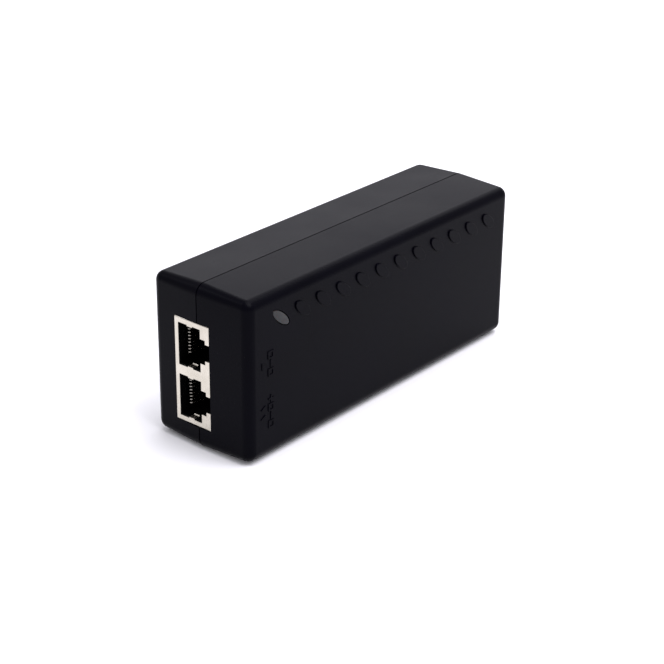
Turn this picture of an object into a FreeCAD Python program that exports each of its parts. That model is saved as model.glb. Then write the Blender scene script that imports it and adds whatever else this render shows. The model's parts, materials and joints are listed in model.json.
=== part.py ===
"""Power-over-Ethernet injector: a mains-powered network box in a two-part black moulded case.

Frame: X is the 36 mm width, from the label side (-X) to the side with the row of raised
ovals (+X).  Y is the length, from the network sockets (-Y) to the mains inlet (+Y).
Z is up, with the case standing on a long narrow side.  The origin is under the middle of
the case.  Everything is in millimetres.
"""
import FreeCAD
import Part
import Sketcher
import math
import os
import re

# name, value, meaning: the driving dimensions, written once
DIMENSIONS = [
    ("case_length", 121.0, "case over both ends, at the seam"),
    ("case_height", 50.0, "case standing on its long narrow side"),
    ("case_width", 36.0, "case over both broad faces"),
    ("case_wall", 2.2, "wall of both shells"),
    ("case_draft", 2.6, "mould draft of each shell, degrees"),
    ("corner_radius", 3.3, "edges of the case that run across its width"),
    ("rim_radius", 3.0, "edges round each broad face"),
    ("ground_lift", 0.0001, "lowest edge over the ground, a length for the outline to hold"),
    ("seam_half", 0.17, "half of the groove along the seam, cut in each shell"),
    ("seam_deep", 0.55, "groove along the seam"),
    ("seam_shift", 0.34, "seam plane from the middle, towards the label side"),
    ("lip_depth", 1.0, "overlap of the cover's tongue and the base's rebate"),
    ("lip_gap", 0.1, "play round the tongue"),
    ("opening_gap", 0.12, "play round what shows through the case"),
    ("oval_long", 7.3, "length of a raised oval"),
    ("oval_short", 3.35, "width of a raised oval"),
    ("oval_tilt", 140.0, "long axis of the ovals and the lens from the length axis, degrees"),
    ("oval_rise", 0.45, "ovals over the broad face"),
    ("oval_edge", 0.2, "round edge of an oval"),
    ("oval_pitch", 8.66, "spacing of the row"),
    ("oval_front", 13.9, "first place of the row, the lens, from the socket end"),
    ("lens_long", 8.2, "length of the lens"),
    ("lens_short", 2.85, "width of the lens"),
    ("lens_gap", 0.22, "play round the lens"),
    ("lens_rise", 0.1, "lens over the broad face"),
    ("lens_flange", 0.9, "collar of the light pipe, wider than the lens and as thick"),
    ("pipe_radius", 1.4, "stem of the light pipe"),
    ("mark_rise", 0.2, "port marks over the broad face"),
    ("mark_line", 0.45, "stroke of the port marks"),
    ("mark_front", 9.55, "middle of the port symbols from the socket end"),
    ("arrow_front", 6.6, "middle of the arrows from the socket end"),
    ("mark_cell", 2.3, "side of one symbol"),
    ("mark_step", 2.6, "spacing of the symbols"),
    ("arrow_step", 2.8, "spacing of the arrowheads"),
    ("arrow_radius", 1.25, "arrowheads, middle to corner"),
    ("in_mark_height", 29.25, "middle of the mark of the data socket"),
    ("out_mark_height", 14.7, "middle of the mark of the power and data socket"),
    ("label_long", 96.0, "rating label along the case"),
    ("label_tall", 34.0, "rating label up the case"),
    ("label_thick", 0.15, "label stock"),
    ("label_recess", 0.25, "sink in the case for the label"),
    ("label_gap", 0.3, "play round the label"),
    ("sheet_thick", 0.4, "insulation sheet behind the board"),
    ("sheet_margin", 4.0, "insulation sheet from the inside of the walls"),
    ("lamp_side", 2.7, "lamp, and with it the row of ovals, past the jack"),
    ("board_thick", 1.6, "circuit board"),
    ("board_standoff", 5.2, "board over the inside of the base"),
    ("board_gap", 1.0, "board from the inside of the walls"),
    ("boss_radius", 3.0, "screw boss"),
    ("boss_front", 26.5, "front screws from the socket end"),
    ("boss_rear", 22.0, "rear screws from the inlet end"),
    ("boss_side", 6.6, "screws from the long narrow sides"),
    ("screw_radius", 1.25, "thread of the board screws"),
    ("screw_long", 6.0, "board screws under the head"),
    ("head_radius", 2.3, "head of the board screws"),
    ("head_thick", 1.7, "head of the board screws"),
    ("slot_wide", 0.7, "bars of the cross recess"),
    ("slot_long", 2.6, "bars of the cross recess"),
    ("hole_gap", 0.15, "play of every hole in the board"),
    ("tail", 1.3, "leads past the solder side"),
    ("lead_radius", 0.35, "round leads"),
    ("can_leads", 0.4, "leads of round parts from the middle, share of the radius"),
    ("disc_leads", 0.6, "leads of disc parts from the middle, share of the radius"),
    ("jack_cheek", 1.9, "jack past each plug cavity, across"),
    ("jack_back", 1.7, "jack behind its contact carriers"),
    ("jack_middle", 22.725, "middle of the jack over the ground"),
    ("jack_sink", 0.2, "jack face behind the case face"),
    ("shield_thick", 0.25, "sheet of the jack shield"),
    ("port_pitch", 15.75, "ports, middle to middle"),
    ("port_wide", 12.2, "plug cavity across the contacts"),
    ("port_tall", 8.1, "plug cavity over its floor, without the latch"),
    ("port_floor", 1.4, "plug cavity over the board"),
    ("port_deep", 13.8, "plug cavity from the jack face"),
    ("latch_wide", 7.4, "shoulder of the latch slot"),
    ("latch_tall", 1.8, "shoulder of the latch slot"),
    ("latch_slot", 5.0, "latch slot"),
    ("latch_top", 1.3, "latch slot over its shoulder"),
    ("window_side", 0.35, "shield window past the cavity, across"),
    ("window_edge", 0.1, "shield window past the cavity, in height"),
    ("window_notch", 1.5, "latch notch of the shield from the jack face"),
    ("shield_bend", 0.35, "outside of the folds round the jack face"),
    ("finger_wide", 2.0, "grounding fingers of the shield"),
    ("finger_long", 2.8, "grounding fingers from the jack face"),
    ("finger_drop", 0.35, "grounding fingers into the window"),
    ("finger_height", 5.65, "middle of the grounding fingers over the board"),
    ("finger_bump", 0.45, "radius of the bead at a finger's end"),
    ("wire_radius", 0.23, "contact wire"),
    ("contact_pitch", 1.016, "contacts, middle to middle"),
    ("bend_radius", 0.67, "bend of a contact, to the middle of the wire"),
    ("bend_deep", 3.7, "bend behind the jack face"),
    ("bend_height", 2.1, "bend over the board"),
    ("arm_slope", 16.0, "free contact arm from the cavity floor, degrees"),
    ("arm_long", 9.5, "straight stretch of a contact arm"),
    ("arm_gap", 0.06, "end of the arm from its fixed tail"),
    ("insert_wide", 9.2, "contact carrier across the contacts"),
    ("insert_thick", 0.8, "floor of the contact carrier"),
    ("port_end", 1.2, "wall behind the plug cavity"),
    ("insert_block", 4.6, "back block front to back"),
    ("insert_tall", 6.0, "back block over the carrier's underside"),
    ("insert_gap", 0.05, "play of the carrier in the housing"),
    ("pin_row", 2.54, "rows of jack pins"),
    ("inlet_wall", 1.5, "wall round the plug cavity of the inlet"),
    ("inlet_base", 3.0, "base of the inlet behind its plug cavity"),
    ("inlet_lift", 0.3, "mains inlet over the board"),
    ("inlet_flange", 1.5, "collar of the inlet, wider than its body and as thick"),
    ("socket_wide", 24.4, "plug cavity of the inlet"),
    ("socket_tall", 16.4, "plug cavity of the inlet"),
    ("socket_deep", 17.0, "plug cavity of the inlet"),
    ("socket_chamfer", 4.5, "keyed corners of the plug cavity"),
    ("blade_thick", 2.0, "inlet pins"),
    ("blade_wide", 4.0, "inlet pins"),
    ("blade_short", 1.3, "pin tips below the inlet rim"),
    ("blade_pitch", 14.0, "line and neutral pins, middle to middle"),
    ("earth_shift", 4.0, "earth pin from the line of the other two"),
    ("blade_tail", 2.8, "pins behind the inlet"),
    ("tail_thick", 1.2, "soldered tail of a pin"),
    ("core_long", 20.0, "transformer core along the case"),
    ("window_gap", 0.6, "winding to the outer legs of the core"),
    ("core_thick", 7.0, "transformer core over the board"),
    ("core_yoke", 3.5, "end bars of the core"),
    ("core_leg", 3.0, "outer legs of the core"),
    ("winding_build", 4.4, "copper over the bobbin tube"),
    ("bobbin_wall", 0.8, "bobbin tube and flanges"),
    ("bobbin_gap", 0.2, "bobbin round the core"),
    ("tape_thick", 0.2, "tape over the winding"),
    ("bobbin_pitch", 4.0, "pins of the bobbin"),
    ("transformer_lift", 1.0, "winding over the board"),
    ("transformer_y", -11.0, "transformer along the board, from its middle"),
    ("transformer_z", 20.0, "transformer over the ground"),
    ("bulk_radius", 8.0, "bulk capacitor"),
    ("bulk_tall", 20.5, "bulk capacitor"),
    ("bulk_y", 9.0, "bulk capacitor along the board"),
    ("bulk_z", 12.4, "bulk capacitor over the ground"),
    ("filter_radius", 4.0, "output capacitors"),
    ("filter_tall", 16.0, "output capacitors"),
    ("filter_back", 11.8, "output capacitors behind the jack"),
    ("filter_low", 7.4, "lower output capacitor over the ground"),
    ("filter_high", 34.6, "upper output capacitor over the ground"),
    ("inductor_radius", 3.2, "output inductor"),
    ("inductor_tall", 9.0, "output inductor"),
    ("inductor_back", 10.9, "output inductor behind the jack"),
    ("inductor_z", 43.0, "output inductor over the ground"),
    ("tab_wide", 10.0, "power transistor and rectifier cases"),
    ("tab_thick", 4.4, "power transistor and rectifier cases"),
    ("tab_tall", 15.0, "power transistor and rectifier cases"),
    ("tab_lift", 3.5, "power cases over the board"),
    ("leg_pitch", 2.54, "legs of the power cases"),
    ("plate_thick", 1.5, "heatsink plates"),
    ("plate_tall", 21.0, "heatsink plates over the board"),
    ("switch_plate", 17.0, "heatsink of the transistor, along the case"),
    ("switch_y", 8.5, "transistor along the board"),
    ("rectifier_plate", 12.0, "heatsink of the rectifier, along the case"),
    ("rectifier_y", -18.5, "rectifier along the board"),
    ("plate_z", 44.4, "inner face of both heatsinks over the ground"),
    ("rivet_radius", 1.5, "screws of the power cases"),
    ("rivet_head", 2.7, "heads of those screws"),
    ("rivet_rise", 12.0, "those screws over the foot of the power cases"),
    ("ring_outer", 8.0, "choke core"),
    ("ring_inner", 4.5, "choke core"),
    ("ring_tall", 6.0, "choke core"),
    ("ring_lift", 1.6, "choke core over the board"),
    ("coil_build", 1.0, "wire layer round the choke core"),
    ("coil_sector", 130.0, "arc of each choke coil, degrees"),
    ("coil_start", 25.0, "start of the first coil round the ring, degrees"),
    ("choke_ahead", 12.1, "choke ahead of the inlet"),
    ("choke_z", 29.0, "choke over the ground"),
    ("film_long", 13.0, "film capacitor along the case"),
    ("film_thick", 6.0, "film capacitor"),
    ("film_tall", 12.0, "film capacitor"),
    ("film_pitch", 10.0, "legs of the film capacitor"),
    ("film_ahead", 12.8, "film capacitor ahead of the inlet"),
    ("film_z", 43.0, "film capacitor over the ground"),
    ("bridge_long", 14.0, "bridge rectifier along the case"),
    ("bridge_thick", 4.0, "bridge rectifier"),
    ("bridge_tall", 11.0, "bridge rectifier"),
    ("bridge_lift", 2.0, "bridge rectifier over the board"),
    ("bridge_pitch", 3.8, "legs of the bridge rectifier"),
    ("bridge_ahead", 12.3, "bridge rectifier ahead of the inlet"),
    ("bridge_z", 7.2, "bridge rectifier over the ground"),
    ("disc_lift", 1.5, "disc parts over the board"),
    ("thermistor_radius", 4.4, "inrush thermistor"),
    ("thermistor_thick", 3.4, "inrush thermistor"),
    ("thermistor_ahead", 12.1, "inrush thermistor ahead of the inlet"),
    ("thermistor_z", 14.2, "inrush thermistor over the ground"),
    ("varistor_radius", 4.4, "surge varistor"),
    ("varistor_thick", 3.6, "surge varistor"),
    ("varistor_end", 12.5, "surge varistor from the inlet end"),
    ("varistor_side", 4.7, "surge varistor below the inlet"),
    ("ycap_radius", 3.5, "safety capacitor"),
    ("ycap_thick", 3.2, "safety capacitor"),
    ("ycap_y", -5.0, "safety capacitor along the board"),
    ("ycap_z", 43.9, "safety capacitor over the ground"),
    ("fuse_radius", 3.1, "mains fuse"),
    ("fuse_tall", 8.0, "mains fuse"),
    ("fuse_end", 12.5, "mains fuse from the inlet end"),
    ("fuse_side", 4.5, "mains fuse above the inlet"),
    ("coupler_long", 6.5, "optocoupler along the case"),
    ("coupler_wide", 4.6, "optocoupler"),
    ("coupler_thick", 3.5, "optocoupler"),
    ("coupler_y", -6.0, "optocoupler along the board"),
    ("coupler_z", 37.0, "optocoupler over the ground"),
    ("magnetics_long", 11.0, "line transformer module along the case"),
    ("magnetics_wide", 15.0, "line transformer module"),
    ("magnetics_thick", 6.0, "line transformer module"),
    ("magnetics_back", 8.3, "line transformer module behind the jack"),
    ("magnetics_z", 20.6, "line transformer module over the ground"),
    ("chip_long", 4.0, "control chips along the case"),
    ("chip_wide", 5.0, "control chips"),
    ("chip_thick", 1.5, "control chips"),
    ("chip_pitch", 1.27, "legs of the control chips"),
    ("foot_long", 1.0, "feet of surface parts"),
    ("foot_wide", 0.45, "feet of surface parts"),
    ("foot_thick", 0.25, "feet of surface parts"),
    ("power_chip_back", 4.2, "port controller behind the jack"),
    ("power_chip_z", 34.0, "port controller over the ground"),
    ("pulse_chip_y", 5.0, "supply controller along the board"),
    ("pulse_chip_z", 29.0, "supply controller over the ground"),
    ("bead_long", 2.0, "chip resistors and capacitors"),
    ("bead_wide", 1.25, "chip resistors and capacitors"),
    ("bead_thick", 0.6, "chip resistors and capacitors"),
    ("bead_step", 2.4, "spacing of the chip parts"),
    ("resistor_front", 6.5, "first chip resistor from the socket end"),
    ("resistor_side", 1.5, "row of chip resistors below the jack"),
    ("ceramic_y", 12.0, "row of chip capacitors along the board"),
    ("ceramic_z", 24.6, "first chip capacitor over the ground"),
    ("led_radius", 1.5, "indicator lamp"),
    ("led_tall", 4.5, "indicator lamp over the board"),
]
CONTACTS = 8
OVALS = 11
NEAR = 0.001  # places and volumes closer than this count as the same
VALUES = {name: value for name, value, meaning in DIMENSIONS}

# places worked out from the driving dimensions
DERIVED = {
    "front": "-case_length / 2",
    "rear": "case_length / 2",
    "label_face": "-case_width / 2",
    "marked_face": "case_width / 2",
    "seam": "-seam_shift",
    "base_depth": "case_width / 2 - seam_shift",
    "cover_depth": "case_width / 2 + seam_shift",
    "board_back": "label_face + case_wall + board_standoff",
    "board_face": "board_back + board_thick",
    "board_front": "front + case_wall + board_gap",
    "board_rear": "rear - case_wall - inlet_flange - board_gap / 2",
    "board_low": "case_wall + board_gap",
    "board_high": "case_height - case_wall - board_gap",
    "jack_width": "port_pitch + port_wide + 2 * jack_cheek",
    "jack_tall": "port_floor + port_tall + latch_tall + latch_top + shield_thick",
    "insert_deep": "port_deep + port_end",
    "jack_deep": "insert_deep + insert_block + jack_back",
    "oval_height": "jack_low + jack_width + lamp_side",
    "jack_front": "front + jack_sink",
    "jack_rear": "jack_front + jack_deep",
    "jack_top": "board_face + jack_tall",
    "jack_low": "jack_middle - jack_width / 2",
    "floor": "board_face + port_floor",
    "ceiling": "floor + port_tall",
    "bend_x": "board_face + bend_height",
    "bend_y": "jack_front + bend_deep",
    "wire_x": "bend_x - bend_radius",
    "insert_face": "wire_x - wire_radius",
    "insert_back": "insert_face - insert_thick",
    "lens_y": "front + oval_front",
    "inlet_wide": "socket_wide + 2 * inlet_wall",
    "inlet_tall": "socket_tall + 2 * inlet_wall",
    "inlet_deep": "socket_deep + inlet_base",
    "inlet_x": "board_face + inlet_lift + inlet_tall / 2",
    "inlet_z": "case_height / 2",
    "inlet_face": "rear - jack_sink",
    "inlet_rear": "inlet_face - inlet_deep",
    "blade_x": "inlet_x - earth_shift / 2",
    "core_wide": "2 * (winding_half + window_gap + core_leg)",
    "winding_half": "core_thick / 2 + bobbin_gap + bobbin_wall + winding_build",
    "transformer_x": "board_face + transformer_lift + winding_half + tape_thick",
    "filter_y": "jack_rear + filter_back",
    "inductor_y": "jack_rear + inductor_back",
    "magnetics_y": "jack_rear + magnetics_back",
    "power_chip_y": "jack_rear + power_chip_back",
    "choke_y": "inlet_rear - choke_ahead",
    "film_y": "inlet_rear - film_ahead",
    "bridge_y": "inlet_rear - bridge_ahead",
    "thermistor_y": "inlet_rear - thermistor_ahead",
    "varistor_y": "rear - varistor_end",
    "fuse_y": "rear - fuse_end",
    "varistor_z": "inlet_z - inlet_wide / 2 - varistor_side",
    "fuse_z": "inlet_z + inlet_wide / 2 + fuse_side",
    "resistor_z": "jack_low - resistor_side",
    "resistor_y": "front + resistor_front",
    "tube_half": "core_thick / 2 + bobbin_gap + bobbin_wall",
    "window_half": "core_long / 2 - core_yoke",
}

document = FreeCAD.newDocument("poe_injector")
sheet = document.addObject("Spreadsheet::Sheet", "Dimensions")
drills = []
subparts = []


def fill_sheet():
    """Write the driving dimensions into the spreadsheet, one aliased cell each."""
    for row, (name, value, meaning) in enumerate(DIMENSIONS, start=1):
        sheet.set("A%d" % row, meaning)
        sheet.set("B%d" % row, str(value))
        sheet.setAlias("B%d" % row, name)
    document.recompute()


def expand(formula):
    """Spell a formula out in spreadsheet cells."""
    def swap(match):
        word = match.group(0)
        if word in DERIVED:
            return "(" + expand(DERIVED[word]) + ")"
        return "Dimensions." + word if word in VALUES else word
    return re.sub(r"[a-z_]+", swap, str(formula))


def value(formula):
    """Work a formula out as a number."""
    result = sheet.evalExpression(expand(formula))
    return float(getattr(result, "Value", result))


def bind(thing, field, formula):
    """Tie a property to the spreadsheet."""
    thing.setExpression(field, expand(formula))


def place(thing, corner):
    """Tie the three coordinates of an object's place to the spreadsheet."""
    for axis, formula in zip("xyz", corner):
        bind(thing, "Placement.Base." + axis, formula)
    return thing


def box(name, low, size):
    """Block with its lowest corner and its size along X, Y and Z."""
    block = document.addObject("Part::Box", name)
    for field, formula in zip(("Length", "Width", "Height"), size):
        bind(block, field, formula)
    return place(block, low)


TURNS = {
    "x": FreeCAD.Rotation(FreeCAD.Vector(0, 1, 0), 90),
    "y": FreeCAD.Rotation(FreeCAD.Vector(1, 0, 0), -90),
    "z": FreeCAD.Rotation(),
}


def rod(name, start, along, radius, length):
    """Cylinder from a start point along one axis."""
    bar = document.addObject("Part::Cylinder", name)
    bar.Placement = FreeCAD.Placement(FreeCAD.Vector(), TURNS[along])
    bind(bar, "Radius", radius)
    bind(bar, "Height", length)
    return place(bar, start)


def fuse(name, *pieces):
    """One solid out of several."""
    if len(pieces) == 1:
        return pieces[0]
    whole = document.addObject("Part::MultiFuse", name)
    whole.Shapes = list(pieces)
    return whole


def cut(name, base, *tools):
    """A solid with others taken out of it."""
    rest = document.addObject("Part::Cut", name)
    rest.Base = base
    rest.Tool = fuse(name + "_tools", *tools)
    return rest


def gather(name, *pieces):
    """Separate solids kept together under one name."""
    pack = document.addObject("Part::Compound", name)
    pack.Links = list(pieces)
    return pack


def keep(thing, label):
    """Register a finished sub-part under the name of its file."""
    thing.Label = label
    subparts.append(thing)
    return thing


def lead(name, y, z, top="board_face", radius="lead_radius"):
    """Round lead from the solder side up to a height, with its hole in the board."""
    start = ("board_back - tail", y, z)
    drills.append(rod(name + "_hole", start, "x", radius + " + hole_gap", "tail + board_thick + hole_gap"))
    return rod(name, start, "x", radius, "%s - board_back + tail" % top)


def ellipse(name, start, long, short, length):
    """Upright bar on a tilted ellipse of a given length and width."""
    outline = document.addObject("Part::Ellipse", name + "_outline")
    spin = FreeCAD.Rotation(FreeCAD.Vector(1, 0, 0), value("oval_tilt"))
    stand = FreeCAD.Rotation(FreeCAD.Vector(1, 1, 1), 120)
    outline.Placement = FreeCAD.Placement(FreeCAD.Vector(), spin.multiply(stand))
    bind(outline, "MajorRadius", "(%s) / 2" % long)
    bind(outline, "MinorRadius", "(%s) / 2" % short)
    place(outline, start)
    bar = document.addObject("Part::Extrusion", name)
    bar.Base = outline
    bar.DirMode = "Custom"
    bar.Dir = FreeCAD.Vector(1, 0, 0)
    bar.Solid = True
    bind(bar, "LengthFwd", length)
    return bar


def soften(name, bar, radius):
    """The bar with its outermost edge rounded."""
    document.recompute()
    limit = bar.Shape.BoundBox.XMax
    rim = [index for index, edge in enumerate(bar.Shape.Edges, start=1)
           if all(abs(vertex.X - limit) < NEAR for vertex in edge.Vertexes)]
    soft = document.addObject("Part::Fillet", name)
    soft.Base = bar
    soft.Edges = [(index, value(radius), value(radius)) for index in rim]
    return soft


# ---------------------------------------------------------------- sketches and bodies

def new_body(name):
    """Empty PartDesign body."""
    return document.addObject("PartDesign::Body", name)


def new_sketch(body, name, role, offset):
    """Sketch on one of the body's own origin planes, moved along the plane's normal."""
    sketch = body.newObject("Sketcher::SketchObject", name)
    plane = next(item for item in body.Origin.OriginFeatures if item.Role == role)
    sketch.AttachmentSupport = [(plane, "")]
    sketch.MapMode = "FlatFace"
    bind(sketch, "AttachmentOffset.Base.z", offset)
    return sketch


def pin_down(sketch, line, end, across, up):
    """Hold one end of a sketch line at two bound distances from the origin."""
    for kind, formula in (("DistanceX", across), ("DistanceY", up)):
        index = sketch.addConstraint(Sketcher.Constraint(kind, -1, 1, line, end, value(formula)))
        bind(sketch, "Constraints[%d]" % index, formula)


def polygon(sketch, corners):
    """Closed outline through corners given as pairs of formulas."""
    points = [FreeCAD.Vector(value(across), value(up), 0) for across, up in corners]
    first = sketch.GeometryCount
    count = len(points)
    for index in range(count):
        sketch.addGeometry(Part.LineSegment(points[index], points[(index + 1) % count]))
    for index in range(count):
        after = first + (index + 1) % count
        sketch.addConstraint(Sketcher.Constraint("Coincident", first + index, 2, after, 1))
        pin_down(sketch, first + index, 1, *corners[index])


def rounded(sketch, low, high, radius):
    """Closed rectangle with four equal round corners, between two corners given as formulas."""
    left, bottom = value(low[0]), value(low[1])
    right, top = value(high[0]), value(high[1])
    bend = value(radius)
    middles = [(right - bend, top - bend), (left + bend, top - bend),
               (left + bend, bottom + bend), (right - bend, bottom + bend)]
    first = sketch.GeometryCount
    for quarter, (across, up) in enumerate(middles):
        circle = Part.Circle(FreeCAD.Vector(across, up, 0), FreeCAD.Vector(0, 0, 1), bend)
        start = quarter * math.pi / 2
        sketch.addGeometry(Part.ArcOfCircle(circle, start, start + math.pi / 2))
    arcs = [sketch.Geometry[first + quarter] for quarter in range(4)]
    for quarter in range(4):
        sketch.addGeometry(Part.LineSegment(arcs[quarter].EndPoint, arcs[(quarter + 1) % 4].StartPoint))
    for quarter in range(4):
        line = first + 4 + quarter
        sketch.addConstraint(Sketcher.Constraint("Tangent", first + quarter, 2, line, 1))
        sketch.addConstraint(Sketcher.Constraint("Tangent", line, 2, first + (quarter + 1) % 4, 1))
        sketch.addConstraint(Sketcher.Constraint("Vertical" if quarter % 2 else "Horizontal", line))
    for quarter in range(1, 4):
        sketch.addConstraint(Sketcher.Constraint("Equal", first, first + quarter))
    index = sketch.addConstraint(Sketcher.Constraint("Radius", first, bend))
    bind(sketch, "Constraints[%d]" % index, radius)
    sides = (("DistanceX", 1, low[0]), ("DistanceY", 2, low[1]),
             ("DistanceX", 3, high[0]), ("DistanceY", 0, high[1]))
    for kind, quarter, formula in sides:
        line = first + 4 + quarter
        index = sketch.addConstraint(Sketcher.Constraint(kind, -1, 1, line, 1, value(formula)))
        bind(sketch, "Constraints[%d]" % index, formula)


def add_feature(body, kind, sketch, length, backwards=False, taper=None):
    """Pad or pocket of a sketch, checked to change the body's volume."""
    before = body.Shape.Volume if body.Tip else 0.0
    feature = body.newObject("PartDesign::" + kind, sketch.Name + "_" + kind.lower())
    feature.Profile = sketch
    feature.Reversed = backwards
    bind(feature, "Length", length)
    if taper:
        bind(feature, "TaperAngle", taper)
    document.recompute()
    if abs(body.Shape.Volume - before) < NEAR:
        raise RuntimeError(feature.Name + " changes nothing")
    return feature


# ---------------------------------------------------------------- case

def shell_moulding(name, depth, side):
    """Drafted, rounded, hollow half of the case, grown from the seam plane; side is -1 or 1."""
    away = side < 0
    body = new_body(name)
    outline = new_sketch(body, name + "_outline", "YZ_Plane", "seam")
    rounded(outline, ("front", "ground_lift"), ("rear", "case_height"), "corner_radius")
    pad = add_feature(body, "Pad", outline, depth, away, "-case_draft")
    limit = pad.Shape.BoundBox.XMin if away else pad.Shape.BoundBox.XMax
    rim = ["Edge%d" % (index + 1) for index, edge in enumerate(pad.Shape.Edges)
           if all(abs(vertex.X - limit) < NEAR for vertex in edge.Vertexes)]
    soft = body.newObject("PartDesign::Fillet", name + "_rim")
    soft.Base = (pad, rim)
    bind(soft, "Radius", "rim_radius")
    document.recompute()
    groove = new_sketch(body, name + "_groove", "YZ_Plane", "seam")
    lip_outline(groove, "seam_deep")
    rounded(groove, ("front - seam_deep", "-seam_deep"), ("rear + seam_deep", "case_height + seam_deep"),
            "corner_radius")
    add_feature(body, "Pocket", groove, "seam_half", not away)
    hollow = new_sketch(body, name + "_hollow", "YZ_Plane", "seam")
    rounded(hollow, ("front + case_wall", "case_wall"), ("rear - case_wall", "case_height - case_wall"),
            "corner_radius - case_wall")
    add_feature(body, "Pocket", hollow, depth + " - case_wall", not away, "-case_draft")
    return body


def lip_outline(sketch, inset):
    """Outline of the joint between the shells, an inset inside the outer face."""
    rounded(sketch, ("front + " + inset, inset), ("rear - " + inset, "case_height - " + inset),
            "corner_radius - " + inset)


def end_openings(name):
    """Blocks that take the jack and the inlet out of the end walls."""
    jack = box(name + "_jack_opening",
               ("board_face - opening_gap", "front - case_wall", "jack_low - opening_gap"),
               ("jack_tall + 2 * opening_gap", "3 * case_wall", "jack_width + 2 * opening_gap"))
    inlet = box(name + "_inlet_opening",
                ("inlet_x - inlet_tall / 2 - opening_gap", "rear - case_wall * 2",
                 "inlet_z - inlet_wide / 2 - opening_gap"),
                ("inlet_tall + 2 * opening_gap", "3 * case_wall", "inlet_wide + 2 * opening_gap"))
    rim = "(inlet_flange + opening_gap)"
    seat = box(name + "_collar_seat",
               ("inlet_x - inlet_tall / 2 - " + rim, "rear - case_wall - inlet_flange - opening_gap",
                "inlet_z - inlet_wide / 2 - " + rim),
               ("inlet_tall + 2 * " + rim, "inlet_flange + opening_gap", "inlet_wide + 2 * " + rim))
    return [jack, inlet, seat]


def boss_places():
    """Along and height formulas of the four board screws."""
    for along in ("front + boss_front", "rear - boss_rear"):
        for height in ("boss_side", "case_height - boss_side"):
            yield along, height


def base_shell():
    """Label-side half of the case, with its rebate, bosses and label recess."""
    body = shell_moulding("base_moulding", "base_depth", -1)
    rebate = new_sketch(body, "rebate", "YZ_Plane", "seam")
    lip_outline(rebate, "(case_wall / 2)")
    add_feature(body, "Pocket", rebate, "lip_depth")
    bosses = []
    pilots = []
    for along, height in boss_places():
        start = ("label_face + case_wall / 2", along, height)
        bosses.append(rod("boss", start, "x", "boss_radius", "board_back - label_face - case_wall / 2"))
        bottom = ("board_face - screw_long", along, height)
        pilots.append(rod("pilot", bottom, "x", "screw_radius", "screw_long"))
    recess = box("label_sink",
                 ("label_face - label_recess", "-label_long / 2 - label_gap",
                  "(case_height - label_tall) / 2 - label_gap"),
                 ("2 * label_recess", "label_long + 2 * label_gap", "label_tall + 2 * label_gap"))
    whole = fuse("base_with_bosses", body, *bosses)
    return keep(cut("base", whole, *pilots, *end_openings("base"), recess), "base_shell")


def port_mark(name, height, cells, arrow, heads):
    """Raised mark of a port: a row of symbols and one or two arrowheads, with no lettering."""
    raised = []
    root = "marked_face - case_wall / 2"
    thick = "case_wall / 2 + mark_rise"
    symbol_y = "front + mark_front - mark_cell / 2"
    stroke_y = symbol_y + " + (mark_cell - mark_line) / 2"
    for index, cell in enumerate(cells):
        low = "%s + %s * mark_step - mark_cell / 2" % (height, (len(cells) - 1) / 2 - index)
        if cell == "port":
            ring = box(name + "_port", (root, symbol_y, low), (thick, "mark_cell", "mark_cell"))
            inner = box(name + "_port_inside",
                        ("marked_face - case_wall", symbol_y + " + mark_line", low + " + mark_line"),
                        ("2 * case_wall", "mark_cell - 2 * mark_line", "mark_cell - 2 * mark_line"))
            raised.append(cut(name + "_port_ring", ring, inner))
        if cell == "plus":
            raised.append(box(name + "_bar", (root, symbol_y, low + " + (mark_cell - mark_line) / 2"),
                              (thick, "mark_cell", "mark_line")))
        if cell in ("plus", "link"):
            raised.append(box(name + "_stroke", (root, stroke_y, low), (thick, "mark_line", "mark_cell")))
    for index in range(heads):
        head = document.addObject("Part::Prism", name + "_head")
        head.Polygon = 3
        turn = FreeCAD.Rotation(FreeCAD.Vector(1, 0, 0), 90 * arrow)
        head.Placement = FreeCAD.Placement(FreeCAD.Vector(), turn.multiply(TURNS["x"]))
        bind(head, "Circumradius", "arrow_radius")
        bind(head, "Height", thick)
        level = "%s + %s * arrow_step" % (height, index - (heads - 1) / 2)
        place(head, (root, "front + arrow_front", level))
        raised.append(head)
    return raised


def cover_shell():
    """Marked half of the case, with its tongue, raised ovals, lens window and port marks."""
    body = shell_moulding("cover_moulding", "cover_depth", 1)
    tongue = new_sketch(body, "tongue", "YZ_Plane", "seam")
    lip_outline(tongue, "(case_wall / 2 + lip_gap)")
    rounded(tongue, ("front + case_wall", "case_wall"), ("rear - case_wall", "case_height - case_wall"),
            "corner_radius - case_wall")
    add_feature(body, "Pad", tongue, "lip_depth - lip_gap", True)
    raised = []
    for index in range(1, OVALS + 1):
        start = ("marked_face - case_wall / 2", "lens_y + %d * oval_pitch" % index, "oval_height")
        bar = ellipse("oval", start, "oval_long", "oval_short", "case_wall / 2 + oval_rise")
        raised.append(soften("oval_pad", bar, "oval_edge"))
    raised += port_mark("data_mark", "in_mark_height", ["port", "link", "port"], 1, 1)
    raised += port_mark("power_mark", "out_mark_height", ["plus", "port", "link", "port"], -1, 2)
    window = ellipse("lens_window", ("marked_face - 2 * case_wall", "lens_y", "oval_height"),
                     "lens_long + 2 * lens_gap", "lens_short + 2 * lens_gap", "3 * case_wall")
    marked = fuse("cover_with_marks", body, *raised)
    return keep(cut("cover", marked, *end_openings("cover"), window), "cover_shell")


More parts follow.
